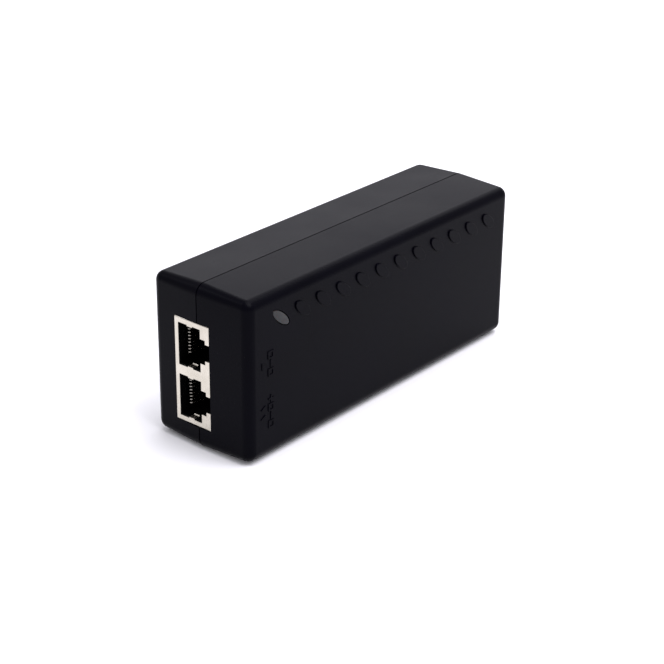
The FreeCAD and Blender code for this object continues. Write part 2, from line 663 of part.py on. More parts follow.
def light_pipe():
    """Lens at the head of the row of ovals, its collar behind the wall and its stem to the lamp."""
    inner = "marked_face - case_wall"
    head = ellipse("lens", (inner + " - lens_flange / 2", "lens_y", "oval_height"), "lens_long",
                   "lens_short", "case_wall + lens_flange / 2 + lens_rise")
    collar = ellipse("lens_collar", (inner + " - lens_flange", "lens_y", "oval_height"),
                     "lens_long + 2 * lens_flange", "lens_short + 2 * lens_flange", "lens_flange")
    foot = "board_face + led_tall + lens_gap"
    stem = rod("lens_stem", (foot, "lens_y", "oval_height"), "x", "pipe_radius",
               "(%s) - lens_flange / 2 - (%s)" % (inner, foot))
    keep(fuse("pipe", head, collar, stem), "light_pipe")


def rating_label():
    """Blank label in the recess of the base."""
    label = box("label", ("label_face + label_recess - label_thick", "-label_long / 2",
                          "(case_height - label_tall) / 2"),
                ("label_thick", "label_long", "label_tall"))
    keep(label, "rating_label")


def insulation_sheet():
    """Insulating sheet on the inside of the base, with holes for the bosses."""
    margin = "(case_wall + sheet_margin)"
    blank = box("sheet_blank", ("label_face + case_wall", "front + " + margin, margin),
                ("sheet_thick", "case_length - 2 * " + margin, "case_height - 2 * " + margin))
    holes = [rod("sheet_hole", ("label_face", along, height), "x", "boss_radius + lip_gap", "2 * case_wall")
             for along, height in boss_places()]
    keep(cut("sheet", blank, *holes), "insulation_sheet")


def board_screws():
    """Four tapping screws with crossed heads."""
    screws = []
    for along, height in boss_places():
        shank = rod("screw_shank", ("board_face - screw_long", along, height), "x",
                    "screw_radius", "screw_long + head_thick / 2")
        head = rod("screw_head", ("board_face", along, height), "x", "head_radius", "head_thick")
        depth = "board_face + head_thick / 2"
        across = box("slot_across", (depth, along + " - slot_long / 2", height + " - slot_wide / 2"),
                     ("head_thick", "slot_long", "slot_wide"))
        upright = box("slot_upright", (depth, along + " - slot_wide / 2", height + " - slot_long / 2"),
                      ("head_thick", "slot_wide", "slot_long"))
        screws.append(cut("board_screw", fuse("screw_blank", shank, head), across, upright))
        drills.append(rod("screw_hole", ("board_back - tail", along, height), "x",
                          "screw_radius + hole_gap", "board_thick + 2 * tail"))
    keep(gather("screws", *screws), "board_screws")


# ---------------------------------------------------------------- network jack

def port_heights():
    """Names and height formulas of the two ports."""
    return (("data_in", "(jack_middle + port_pitch / 2)"), ("power_out", "(jack_middle - port_pitch / 2)"))


def port_profile(sketch, height, side, edge, top):
    """Stepped outline of a plug cavity: wide for the plug, narrower twice for its latch."""
    low, high = "floor - " + edge, "ceiling + " + edge
    shoulder = high + " + latch_tall"
    wide = "(port_wide / 2 + %s)" % side
    widths = [(wide, low, high), ("(latch_wide / 2)", high, shoulder), ("(latch_slot / 2)", shoulder, top)]
    right = []
    left = []
    for half, start, end in widths:
        right += [(start, "%s - %s" % (height, half)), (end, "%s - %s" % (height, half))]
        left = [(end, "%s + %s" % (height, half)), (start, "%s + %s" % (height, half))] + left
    polygon(sketch, right + left)


def face_edges(shape):
    """Outer edges of the jack's face, where the sheet folds back."""
    names = []
    for index, edge in enumerate(shape.Edges, start=1):
        ends = [vertex.Point for vertex in edge.Vertexes]
        on_face = all(abs(point.y - value("jack_front")) < NEAR for point in ends)
        borders = (("x", "jack_top"), ("z", "jack_low"), ("z", "jack_low + jack_width"))
        on_border = any(all(abs(getattr(point, axis) - value(border)) < NEAR for point in ends)
                        for axis, border in borders)
        if on_face and on_border:
            names.append("Edge%d" % index)
    return names


def jack_shield():
    """Folded sheet shield: five sides, two stepped windows, grounding fingers and solder tabs."""
    body = new_body("shield_box")
    outline = new_sketch(body, "shield_outline", "XZ_Plane", "-(jack_front)")
    polygon(outline, [("board_face", "jack_low"), ("jack_top", "jack_low"),
                      ("jack_top", "jack_low + jack_width"), ("board_face", "jack_low + jack_width")])
    add_feature(body, "Pad", outline, "jack_deep", True)
    inside = new_sketch(body, "shield_inside", "YZ_Plane", "board_face")
    rear, low = "jack_rear - shield_thick", "jack_low + shield_thick"
    front, high = "jack_front + shield_thick", "jack_low + jack_width - shield_thick"
    polygon(inside, [(front, low), (rear, low), (rear, high), (front, high)])
    add_feature(body, "Pocket", inside, "jack_tall - shield_thick", True)
    for name, height in port_heights():
        window = new_sketch(body, name + "_window", "XZ_Plane", "-(jack_front)")
        port_profile(window, height, "window_side", "window_edge", "jack_top + shield_thick")
        add_feature(body, "Pocket", window, "window_notch")
    flat = body.Tip
    folded = body.newObject("PartDesign::Fillet", "shield_folds")
    folded.Base = (flat, face_edges(flat.Shape))
    bind(folded, "Radius", "shield_bend")
    document.recompute()
    pieces = [body]
    for name, height in port_heights():
        for side in (-1, 1):
            inner = "(%s + %d * (port_wide / 2 + window_side - finger_drop))" % (height, side)
            low = inner + (" - shield_thick" if side < 0 else "")
            root = inner + (" - finger_drop - window_edge" if side < 0 else "")
            start = "board_face + finger_height - finger_wide / 2"
            pieces.append(box(name + "_finger", (start, "jack_front", low),
                              ("finger_wide", "finger_long", "shield_thick")))
            pieces.append(box(name + "_root", (start, "jack_front", root),
                              ("finger_wide", "shield_thick", "finger_drop + window_edge")))
            pieces.append(rod(name + "_bump",
                              (start, "jack_front + finger_long - finger_bump",
                               "%s + %d * shield_thick / 2" % (inner, side)),
                              "x", "finger_bump", "finger_wide"))
    for along in ("jack_front + jack_deep / 3", "jack_rear - jack_deep / 5"):
        for low in ("jack_low", "jack_low + jack_width - shield_thick"):
            pieces.append(box("solder_tab", ("board_back - tail", along, low),
                              ("tail + board_thick + finger_wide / 2", "finger_wide", "shield_thick")))
            drills.append(box("tab_slot", ("board_back - tail", along + " - hole_gap", low + " - hole_gap"),
                              ("tail + 2 * board_thick", "finger_wide + 2 * hole_gap",
                               "shield_thick + 2 * hole_gap")))
    keep(fuse("shield", *pieces), "jack_shield")


def jack_housing():
    """Moulded block with two plug cavities, carrier channels and rear pockets."""
    body = new_body("housing_block")
    outline = new_sketch(body, "housing_outline", "XZ_Plane", "-(jack_front + shield_thick)")
    low, high = "jack_low + shield_thick", "jack_low + jack_width - shield_thick"
    top = "jack_top - shield_thick"
    polygon(outline, [("board_face", low), (top, low), (top, high), ("board_face", high)])
    add_feature(body, "Pad", outline, "jack_deep - 2 * shield_thick", True)
    for name, height in port_heights():
        cavity = new_sketch(body, name + "_cavity", "XZ_Plane", "-(jack_front + shield_thick)")
        port_profile(cavity, height, "0", "0", "jack_top")
        add_feature(body, "Pocket", cavity, "port_deep - shield_thick")
    tools = []
    for name, height in port_heights():
        low = "%s - insert_wide / 2 - insert_gap" % height
        wide = "insert_wide + 2 * insert_gap"
        tools.append(box(name + "_channel",
                         ("insert_back - insert_gap", "bend_y - 2 * bend_radius", low),
                         ("bend_x - insert_back + insert_gap", "jack_rear - bend_y + 2 * bend_radius", wide)))
        tools.append(box(name + "_rear_pocket",
                         ("board_face - insert_gap", "jack_front + insert_deep - insert_gap", low),
                         ("insert_back + insert_tall - board_face + 2 * insert_gap", "jack_deep", wide)))
        for side in (-1, 1):
            edge = "(%s + %d * port_wide / 2)" % (height, side)
            tools.append(box(name + "_finger_room",
                             ("board_face + finger_height - finger_wide / 2 - window_edge", "jack_front",
                              edge + " - 3 * shield_thick"),
                             ("finger_wide + 2 * window_edge", "finger_long + window_side",
                              "6 * shield_thick")))
    keep(cut("housing", body, *tools), "jack_housing")


def contact_heights(height):
    """Height formulas of the contacts of one port."""
    for index in range(CONTACTS):
        yield index, "%s + %s * contact_pitch" % (height, index - (CONTACTS - 1) / 2)


def terminals(name, height):
    """Fixed tails of one port's contacts: flat runs on the carrier, then pins in two rows."""
    wires = []
    for index, level in contact_heights(height):
        turn = "jack_front + insert_deep + insert_block / 4"
        if index % 2:
            turn += " + pin_row"
        run = rod(name + "_run", ("wire_x", "bend_y", level), "y", "wire_radius",
                  "%s - (bend_y)" % turn)
        pin = rod(name + "_pin", ("board_back - tail", turn, level), "x", "wire_radius",
                  "wire_x - board_back + tail")
        corner = document.addObject("Part::Sphere", name + "_corner")
        bind(corner, "Radius", "wire_radius")
        place(corner, ("wire_x", turn, level))
        drills.append(rod(name + "_pin_hole", ("board_back - tail", turn, level), "x",
                          "wire_radius + hole_gap / 2", "board_thick + 2 * tail"))
        wires.append(fuse(name + "_wire", run, corner, pin))
    return keep(gather(name + "_tails", *wires), name + "_terminals")


def carrier(name, height, wires):
    """Insulating carrier moulded round the fixed tails of one port."""
    low = "%s - insert_wide / 2" % height
    slab = box(name + "_slab", ("insert_back", "bend_y - bend_radius", low),
               ("insert_thick", "jack_front + insert_deep - bend_y + 2 * bend_radius", "insert_wide"))
    block = box(name + "_block", ("insert_back", "jack_front + insert_deep", low),
                ("insert_tall", "insert_block", "insert_wide"))
    foot = box(name + "_foot", ("board_face", "jack_front + insert_deep", low),
               ("insert_back - board_face + insert_thick", "insert_block", "insert_wide"))
    return keep(cut(name + "_carrier", fuse(name + "_blank", slab, block, foot), wires), name + "_carrier")


def spring_contacts(name, height):
    """Free arms of one port's contacts: a bend round the pivot and a sloping arm to its tip."""
    arms = []
    slope = math.radians(value("arm_slope"))
    centre = FreeCAD.Vector(value("bend_x"), value("bend_y"), 0)
    bend, long = value("bend_radius"), value("arm_long")
    gap = value("arm_gap") / bend
    start = centre + FreeCAD.Vector(-bend * math.cos(gap), -bend * math.sin(gap), 0)
    middle = centre + FreeCAD.Vector(0, -bend, 0)
    end = centre + FreeCAD.Vector(bend * math.cos(slope), -bend * math.sin(slope), 0)
    tip = end + FreeCAD.Vector(long * math.sin(slope), long * math.cos(slope), 0)
    for index, level in contact_heights(height):
        lift = FreeCAD.Vector(0, 0, value(level))
        arc = Part.Arc(start + lift, middle + lift, end + lift).toShape()
        path = Part.Wire([arc, Part.LineSegment(end + lift, tip + lift).toShape()])
        heading = FreeCAD.Vector(math.sin(gap), -math.cos(gap), 0)
        ring = Part.Wire([Part.Circle(start + lift, heading, value("wire_radius")).toShape()])
        arms.append(path.makePipeShell([ring], True, False))
    group = document.addObject("Part::Feature", name + "_arms")
    group.Shape = Part.makeCompound(arms)
    return keep(group, name + "_contacts")


# ---------------------------------------------------------------- mains inlet

def inlet_housing():
    """Mains inlet: keyed cavity, base with pin slots, and a collar behind the end wall."""
    body = new_body("inlet_block")
    outline = new_sketch(body, "inlet_outline", "XZ_Plane", "-(inlet_face)")
    half_tall, half_wide = "inlet_tall / 2", "inlet_wide / 2"
    polygon(outline, [("inlet_x - " + half_tall, "inlet_z - " + half_wide),
                      ("inlet_x + " + half_tall, "inlet_z - " + half_wide),
                      ("inlet_x + " + half_tall, "inlet_z + " + half_wide),
                      ("inlet_x - " + half_tall, "inlet_z + " + half_wide)])
    add_feature(body, "Pad", outline, "inlet_deep")
    cavity = new_sketch(body, "inlet_cavity", "XZ_Plane", "-(inlet_face)")
    left, right = "inlet_x - socket_tall / 2", "inlet_x + socket_tall / 2"
    low, high = "inlet_z - socket_wide / 2", "inlet_z + socket_wide / 2"
    polygon(cavity, [(left, low), (right + " - socket_chamfer", low), (right, low + " + socket_chamfer"),
                     (right, high + " - socket_chamfer"), (right + " - socket_chamfer", high), (left, high)])
    add_feature(body, "Pocket", cavity, "socket_deep", True)
    collar = box("inlet_collar",
                 ("inlet_x - inlet_tall / 2 - inlet_flange", "rear - case_wall - inlet_flange",
                  "inlet_z - inlet_wide / 2 - inlet_flange"),
                 ("inlet_tall + 2 * inlet_flange", "inlet_flange", "inlet_wide + 2 * inlet_flange"))
    room = box("inlet_collar_room",
               ("inlet_x - inlet_tall / 2", "rear - case_wall - 2 * inlet_flange", "inlet_z - inlet_wide / 2"),
               ("inlet_tall", "3 * inlet_flange", "inlet_wide"))
    slots = [box("blade_slot", ("%s - blade_wide / 2" % x, "inlet_rear - blade_tail", "%s - blade_thick / 2" % z),
                 ("blade_wide", "inlet_deep", "blade_thick")) for name, x, z in blades()]
    whole = fuse("inlet", body, cut("inlet_ring", collar, room))
    keep(cut("inlet_drilled", whole, *slots), "inlet_housing")


def blades():
    """Names and places of the three inlet pins."""
    return (("line", "(blade_x)", "(inlet_z - blade_pitch / 2)"),
            ("neutral", "(blade_x)", "(inlet_z + blade_pitch / 2)"),
            ("earth", "(blade_x + earth_shift)", "(inlet_z)"))


def inlet_pins():
    """Flat inlet pins, each with a tail bent down through the board."""
    for name, x, z in blades():
        blade = box(name + "_blade",
                    ("%s - blade_wide / 2" % x, "inlet_rear - blade_tail", "%s - blade_thick / 2" % z),
                    ("blade_wide", "inlet_deep + blade_tail - blade_short", "blade_thick"))
        tail_y = "inlet_rear - blade_tail"
        tail = box(name + "_tail", ("board_back - tail", tail_y, "%s - blade_thick / 2" % z),
                   ("%s - board_back + tail" % x, "tail_thick", "blade_thick"))
        drills.append(box(name + "_slot",
                          ("board_back - tail", tail_y + " - hole_gap", "%s - blade_thick / 2 - hole_gap" % z),
                          ("board_thick + 2 * tail", "tail_thick + 2 * hole_gap",
                           "blade_thick + 2 * hole_gap")))
        keep(fuse(name + "_shape", blade, tail), name + "_pin")


# ---------------------------------------------------------------- parts on the board

def can(label, radius, tall, y, z):
    """Round part standing on the board on two leads."""
    body = rod(label + "_can", ("board_face", y, z), "x", radius, tall)
    leads = [lead(label + "_lead", y, "%s + %d * can_leads * %s" % (z, side, radius)) for side in (-1, 1)]
    return fuse(label + "_whole", body, *leads)


def disc(label, radius, thick, y, z):
    """Round flat part standing on edge on two leads."""
    body = rod(label + "_disc", ("board_face + disc_lift + " + radius, y, "%s - %s / 2" % (z, thick)),
               "z", radius, thick)
    leads = [lead(label + "_lead", "%s + %d * disc_leads * %s" % (y, side, radius), z,
                  "(board_face + disc_lift + %s)" % radius) for side in (-1, 1)]
    keep(fuse(label + "_whole", body, *leads), label)


def footed(label, y, z, sizes, count, pitch):
    """Surface part with rows of feet on its two long sides."""
    long, wide, thick = sizes
    body = box(label + "_body", ("board_face", "%s - %s / 2" % (y, long), "%s - %s / 2" % (z, wide)),
               (thick, long, wide))
    feet = []
    for index in range(count):
        level = "%s + %s * %s - foot_wide / 2" % (z, index - (count - 1) / 2, pitch)
        for start in ("%s - %s / 2 - foot_long" % (y, long), "%s + %s / 2" % (y, long)):
            feet.append(box(label + "_foot", ("board_face", start, level),
                            ("foot_thick", "foot_long", "foot_wide")))
    keep(fuse(label + "_whole", body, *feet), label)


def chip_row(label, places):
    """Small two-ended chips, each a separate solid."""
    chips = [box(label + "_chip", ("board_face", "%s - bead_long / 2" % y, "%s - bead_wide / 2" % z),
                 ("bead_thick", "bead_long", "bead_wide")) for y, z in places]
    keep(gather(label + "_row", *chips), label)


def power_case(label, plate_label, y, plate_long):
    """Three-legged power part, screwed flat against an upright heatsink plate."""
    low = "plate_z - tab_thick"
    base = "board_face + tab_lift"
    body = box(label + "_case", (base, "%s - tab_wide / 2" % y, low), ("tab_tall", "tab_wide", "tab_thick"))
    legs = [lead(label + "_leg", "%s + %d * leg_pitch" % (y, index), "plate_z - tab_thick / 2",
                 "(board_face + tab_lift)") for index in (-1, 0, 1)]
    plate = box(plate_label + "_plate", ("board_face", "%s - %s / 2" % (y, plate_long), "plate_z"),
                ("plate_tall", plate_long, "plate_thick"))
    hole = rod(label + "_hole", (base + " + rivet_rise", y, low + " - plate_thick"), "z",
               "rivet_radius", "tab_thick + 4 * plate_thick")
    keep(cut(label + "_drilled", fuse(label + "_whole", body, *legs), hole), label)
    keep(cut(plate_label + "_drilled", plate, hole), plate_label)
    shank = rod(label + "_screw", (base + " + rivet_rise", y, low), "z", "rivet_radius",
                "tab_thick + plate_thick")
    head = rod(label + "_head", (base + " + rivet_rise", y, low + " - plate_thick"), "z",
               "rivet_head", "plate_thick")
    return fuse(label + "_bolt", shank, head)


def transformer():
    """Supply transformer: two core halves, bobbin with pins, winding and tape."""
    halves = []
    for side in (-1, 1):
        low_y = "transformer_y - core_long / 2" if side < 0 else "transformer_y"
        block = box("core_block", ("transformer_x - core_thick / 2", low_y, "transformer_z - core_wide / 2"),
                    ("core_thick", "core_long / 2", "core_wide"))
        windows = [box("core_window", ("transformer_x - core_thick", "transformer_y - window_half", start),
                       ("2 * core_thick", "2 * window_half", "core_wide / 2 - core_leg - core_thick / 2"))
                   for start in ("transformer_z - core_wide / 2 + core_leg", "transformer_z + core_thick / 2")]
        halves.append(cut("core_half", block, *windows))
    keep(gather("core", *halves), "transformer_core")

    def ring(name, inner, outer, half_long):
        """Square tube round the middle leg of the core."""
        tube = box(name + "_outside",
                   ("transformer_x - (%s)" % outer, "transformer_y - (%s)" % half_long,
                    "transformer_z - (%s)" % outer),
                   ("2 * (%s)" % outer, "2 * (%s)" % half_long, "2 * (%s)" % outer))
        bore = box(name + "_inside",
                   ("transformer_x - (%s)" % inner, "transformer_y - core_long", "transformer_z - (%s)" % inner),
                   ("2 * (%s)" % inner, "2 * core_long", "2 * (%s)" % inner))
        return cut(name, tube, bore)

    inner = "core_thick / 2 + bobbin_gap"
    half_long = "window_half - bobbin_gap"
    wound = half_long + " - bobbin_wall"
    tube = ring("bobbin_tube", inner, "tube_half", half_long)
    flanges = cut("bobbin_flanges", ring("flange_block", inner, "winding_half", half_long),
                  box("flange_room", ("transformer_x - 2 * winding_half", "transformer_y - (%s)" % wound,
                                      "transformer_z - 2 * winding_half"),
                      ("4 * winding_half", "2 * (%s)" % wound, "4 * winding_half")))
    rails = []
    for side in (-1, 1):
        start = "(window_half - bobbin_gap - bobbin_wall)"
        low_y = "transformer_y + " + start if side > 0 else "transformer_y - core_long / 2"
        rails.append(box("bobbin_rail", ("board_face", low_y, "transformer_z - winding_half"),
                         ("transformer_x - core_thick / 2 - bobbin_gap - board_face",
                          "core_long / 2 - " + start, "2 * winding_half")))
        for index in range(4):
            level = "transformer_z + %s * bobbin_pitch" % (index - 1.5)
            rails.append(lead("bobbin_pin", "transformer_y + %d * (core_long / 2 - 2 * bobbin_wall)" % side,
                              level))
    keep(fuse("bobbin", tube, flanges, *rails), "transformer_bobbin")
    keep(ring("winding", "tube_half", "winding_half", wound), "transformer_winding")
    keep(ring("tape", "winding_half", "winding_half + tape_thick", wound), "transformer_tape")


def choke():
    """Mains filter choke: ring core with two coils."""
    foot = "board_face + ring_lift"
    middle = ("choke_y", "choke_z")
    ring = rod("ring", (foot, *middle), "x", "ring_outer", "ring_tall")
    bore = rod("ring_bore", ("board_face", *middle), "x", "ring_inner", "ring_lift + 2 * ring_tall")
    core = keep(cut("ring_core", ring, bore), "choke_core")
    coils = []
    for turn in (0, 180):
        sector = rod("coil_sector", (foot + " - coil_build", *middle), "x", "ring_outer + coil_build",
                     "ring_tall + 2 * coil_build")
        bind(sector, "Angle", "coil_sector")
        spin = FreeCAD.Rotation(FreeCAD.Vector(1, 0, 0), value("coil_start") + turn)
        sector.Placement.Rotation = spin.multiply(TURNS["x"])
        hollow = rod("coil_bore", ("board_face", *middle), "x", "ring_inner - coil_build",
                     "ring_lift + 2 * ring_tall")
        coils.append(cut("coil", sector, hollow, core))
    keep(gather("coils", *coils), "choke_windings")


def bridge_rectifier():
    """Flat bridge rectifier standing on four legs."""
    body = box("bridge_body", ("board_face + bridge_lift", "bridge_y - bridge_long / 2",
                               "bridge_z - bridge_thick / 2"),
               ("bridge_tall", "bridge_long", "bridge_thick"))
    legs = [lead("bridge_leg", "bridge_y + %s * bridge_pitch" % (index - 1.5), "bridge_z",
                 "(board_face + bridge_lift)") for index in range(4)]
    keep(fuse("bridge", body, *legs), "bridge_rectifier")


def film_capacitor():
    """Boxed mains filter capacitor."""
    body = box("film_body", ("board_face", "film_y - film_long / 2", "film_z - film_thick / 2"),
               ("film_tall", "film_long", "film_thick"))
    legs = [lead("film_leg", "film_y + %d * film_pitch / 2" % side, "film_z") for side in (-1, 1)]
    keep(fuse("film", body, *legs), "mains_filter_capacitor")


def optocoupler():
    """Four-legged coupler across the isolation gap."""
    body = box("coupler_body", ("board_face + foot_long", "coupler_y - coupler_long / 2",
                                "coupler_z - coupler_wide / 2"),
               ("coupler_thick", "coupler_long", "coupler_wide"))
    legs = []
    for side in (-1, 1):
        for level in ("coupler_z - leg_pitch / 2", "coupler_z + leg_pitch / 2"):
            legs.append(lead("coupler_leg", "coupler_y + %d * (coupler_long / 2 - lead_radius)" % side, level,
                             "(board_face + foot_long)"))
    keep(fuse("coupler", body, *legs), "optocoupler")


def circuit_board():
    """Board with every hole that a lead, pin, tab or screw needs."""
    blank = box("board_blank", ("board_back", "board_front", "board_low"),
                ("board_thick", "board_rear - board_front", "board_high - board_low"))
    keep(cut("board", blank, *drills), "circuit_board")


def board_parts():
    """Everything soldered to the board apart from the jack and the inlet."""
    keep(can("lamp", "led_radius", "led_tall", "lens_y", "oval_height"), "status_led")
    footed("line_transformer_module", "magnetics_y", "magnetics_z",
           ("magnetics_long", "magnetics_wide", "magnetics_thick"), 11, "chip_pitch")
    footed("port_controller", "power_chip_y", "power_chip_z", ("chip_long", "chip_wide", "chip_thick"), 4,
           "chip_pitch")
    footed("supply_controller", "pulse_chip_y", "pulse_chip_z", ("chip_long", "chip_wide", "chip_thick"), 4,
           "chip_pitch")
    chip_row("chip_resistors", [("resistor_y + %d * bead_step" % index, "resistor_z") for index in range(4)])
    chip_row("chip_capacitors", [("ceramic_y", "ceramic_z + %d * bead_step" % index) for index in range(5)])
    keep(gather("filters", *[can("filter", "filter_radius", "filter_tall", "filter_y", z)
                             for z in ("filter_low", "filter_high")]), "output_capacitors")
    keep(can("inductor", "inductor_radius", "inductor_tall", "inductor_y", "inductor_z"), "output_inductor")
    keep(can("bulk", "bulk_radius", "bulk_tall", "bulk_y", "bulk_z"), "bulk_capacitor")
    keep(can("mains", "fuse_radius", "fuse_tall", "fuse_y", "fuse_z"), "mains_fuse")
    disc("inrush_thermistor", "thermistor_radius", "thermistor_thick", "thermistor_y", "thermistor_z")
    disc("surge_varistor", "varistor_radius", "varistor_thick", "varistor_y", "varistor_z")
    disc("safety_capacitor", "ycap_radius", "ycap_thick", "ycap_y", "ycap_z")
    bolts = [power_case("power_transistor", "transistor_heatsink", "switch_y", "switch_plate"),
             power_case("output_rectifier", "rectifier_heatsink", "rectifier_y", "rectifier_plate")]
    keep(gather("bolts", *bolts), "heatsink_screws")
    bridge_rectifier()
    film_capacitor()
    optocoupler()
    transformer()
    choke()


def write_files():
    """Check every object and every sub-part, then write one file for each sub-part."""
    document.recompute()
    faults = [item.Label for item in document.Objects if {"Invalid", "Error"} & set(item.State)]
    for item in subparts:
        shape = item.Shape
        if shape.isNull() or not shape.isValid() or not shape.Solids:
            faults.append(item.Label)
    if faults:
        raise RuntimeError("not built: " + ", ".join(faults))
    os.makedirs("parts", exist_ok=True)
    for item in subparts:
        item.Shape.exportStep("parts/%s.step" % item.Label)
        print(item.Label, len(item.Shape.Solids), round(item.Shape.Volume, 2))


def main():
    """Build the whole injector."""
    fill_sheet()
    base_shell()
    cover_shell()
    light_pipe()
    rating_label()
    insulation_sheet()
    board_screws()
    jack_shield()
    jack_housing()
    for name, height in port_heights():
        carrier(name, height, terminals(name, height))
        spring_contacts(name, height)
    inlet_housing()
    inlet_pins()
    board_parts()
    circuit_board()
    write_files()


main()
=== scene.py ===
"""Looks of a power-over-Ethernet injector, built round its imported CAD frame.

The case stands on a long narrow side: X is its width, Y its length and Z its height, in
metres, with the network sockets at -Y, the mains inlet at +Y and the row of ovals on +X.
Every visible piece is either a numpy surface or a smoothed copy of a CAD node, and every
piece carries a procedural finish.
"""

import json
import logging
import math
from dataclasses import dataclass
from enum import Enum
from typing import Sequence

import bmesh
import bpy
import numpy as np
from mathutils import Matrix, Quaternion, Vector

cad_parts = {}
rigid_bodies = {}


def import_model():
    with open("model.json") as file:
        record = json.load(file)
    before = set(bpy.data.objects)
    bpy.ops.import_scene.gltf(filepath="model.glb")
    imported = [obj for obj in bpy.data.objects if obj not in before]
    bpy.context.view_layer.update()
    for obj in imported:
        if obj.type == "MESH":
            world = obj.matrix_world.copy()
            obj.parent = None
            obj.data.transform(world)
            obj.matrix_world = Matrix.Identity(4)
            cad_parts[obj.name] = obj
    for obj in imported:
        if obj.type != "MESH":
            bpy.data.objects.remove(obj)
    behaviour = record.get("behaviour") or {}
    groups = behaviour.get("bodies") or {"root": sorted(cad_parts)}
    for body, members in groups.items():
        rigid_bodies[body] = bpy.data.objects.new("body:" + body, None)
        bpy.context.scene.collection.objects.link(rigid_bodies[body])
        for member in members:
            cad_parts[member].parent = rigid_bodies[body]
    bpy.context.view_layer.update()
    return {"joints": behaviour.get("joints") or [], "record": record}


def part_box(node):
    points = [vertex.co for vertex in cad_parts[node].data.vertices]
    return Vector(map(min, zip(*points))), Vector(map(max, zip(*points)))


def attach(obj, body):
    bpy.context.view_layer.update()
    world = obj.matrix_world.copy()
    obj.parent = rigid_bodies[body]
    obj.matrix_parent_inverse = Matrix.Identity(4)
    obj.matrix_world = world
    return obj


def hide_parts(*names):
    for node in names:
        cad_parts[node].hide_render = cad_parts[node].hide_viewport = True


LOG = logging.getLogger("injector")
MM = 0.001
BODY = "injector"
SPLIT = math.radians(32)
MERGE = 2e-7
TINY = 1e-20
FULL_TURN = 2 * math.pi
QUARTER_TURN = math.pi / 2
Rgb = tuple[float, float, float]
Socket = bpy.types.NodeSocket


# ---------------------------------------------------------------- meshes

def add_object(name: str, points: np.ndarray, faces: Sequence[Sequence[int]]) -> bpy.types.Object:
    """Put worked-out points and faces into a new smooth object at the origin.

    Args:
        name: Name of the piece.
        points: Vertex places, one row of X, Y, Z each, in metres.
        faces: Vertex numbers of each face.

    Returns:
        The new object, linked to the scene.
    """
    mesh = bpy.data.meshes.new(name)
    mesh.from_pydata(np.asarray(points, float).reshape(-1, 3).tolist(), [], list(map(tuple, faces)))
    mesh.validate()
    piece = bpy.data.objects.new(name, mesh)
    bpy.context.scene.collection.objects.link(piece)
    tidy_mesh(piece, 0.0)
    return piece


def tidy_mesh(piece: bpy.types.Object, gap: float) -> None:
    """Merge doubles within a gap, turn faces outwards and set the corner normals.

    Args:
        piece: Object whose mesh is tidied in place.
        gap: Largest distance between doubles, in metres; 0 merges nothing.
    """
    work = bmesh.new()
    work.from_mesh(piece.data)
    if gap > 0:
        bmesh.ops.remove_doubles(work, verts=work.verts, dist=gap)
        bmesh.ops.dissolve_degenerate(work, edges=work.edges, dist=gap)
    bmesh.ops.recalc_face_normals(work, faces=work.faces)
    work.to_mesh(piece.data)
    work.free()
    piece.data.shade_smooth()
    set_corner_normals(piece.data)


def read(items: bpy.types.bpy_prop_collection, field: str, width: int, kind: type) -> np.ndarray:
    """One field of a mesh collection as an array, one row for each item.

    Args:
        items: The collection, such as a mesh's polygons.
        field: Name of the field.
        width: Values in each item.
        kind: Type of the values.

    Returns:
        The values, flat when the width is 1.
    """
    values = np.empty(len(items) * width, kind)
    items.foreach_get(field, values)
    return values.reshape(-1, width) if width > 1 else values


def plane_numbers(normals: np.ndarray, centres: np.ndarray) -> np.ndarray:
    """Number of the plane that each face lies in, from its rounded normal and distance.

    Args:
        normals: Unit normals, one row for each face.
        centres: Middles of the faces, in metres.

    Returns:
        One plane number for each face.
    """
    turn_steps, metre_steps = 2e3, 2e5
    offset = (normals * centres).sum(1)
    keys = np.round(np.column_stack([normals * turn_steps, offset * metre_steps]))
    return np.unique(keys, axis=0, return_inverse=True)[1].ravel()


def set_corner_normals(mesh: bpy.types.Mesh) -> None:
    """Shade round edges smoothly while flat faces stay flat right up to them.

    A corner's normal is the mean of the normals of the faces at its vertex that turn from its
    own face by less than the split angle.  Each counts with its angle at the vertex times the
    area of everything in its plane, so a broad face outweighs the strips of a fillet beside it.

    Args:
        mesh: The mesh, with its faces turned outwards.
    """
    normals = read(mesh.polygons, "normal", 3, np.float32)
    centres = read(mesh.polygons, "center", 3, np.float32)
    starts = read(mesh.polygons, "loop_start", 1, np.int32)
    sizes = read(mesh.polygons, "loop_total", 1, np.int32)
    owner = read(mesh.loops, "vertex_index", 1, np.int32)
    places = read(mesh.vertices, "co", 3, np.float32)[owner]
    face = np.repeat(np.arange(len(sizes)), sizes)
    corner = np.arange(len(owner))
    after = np.where(corner + 1 < starts[face] + sizes[face], corner + 1, starts[face])
    before = np.empty_like(after)
    before[after] = corner
    ahead, behind = places[after] - places, places[before] - places
    length = np.linalg.norm(ahead, axis=1) * np.linalg.norm(behind, axis=1)
    angle = np.arccos(np.clip((ahead * behind).sum(1) / np.maximum(length, TINY), -1, 1))
    plane = plane_numbers(normals, centres)
    area = np.bincount(plane, read(mesh.polygons, "area", 1, np.float32))[plane]
    order = np.argsort(owner, kind="stable")
    count = np.bincount(owner)[owner[order]]
    group = np.searchsorted(owner[order], owner[order])
    one = np.repeat(np.arange(len(order)), count)
    other = np.repeat(group, count) + np.arange(len(one)) - np.repeat(np.cumsum(count) - count, count)
    mine, theirs = order[one], order[other]
    near = (normals[face[mine]] * normals[face[theirs]]).sum(1) > math.cos(SPLIT)
    share = np.where(near, area[face[theirs]] * angle[theirs], 0.0)
    total = np.zeros((len(owner), 3))
    np.add.at(total, mine, normals[face[theirs]] * share[:, None])
    total /= np.maximum(np.linalg.norm(total, axis=1, keepdims=True), TINY)
    mesh.normals_split_custom_set(total.tolist())


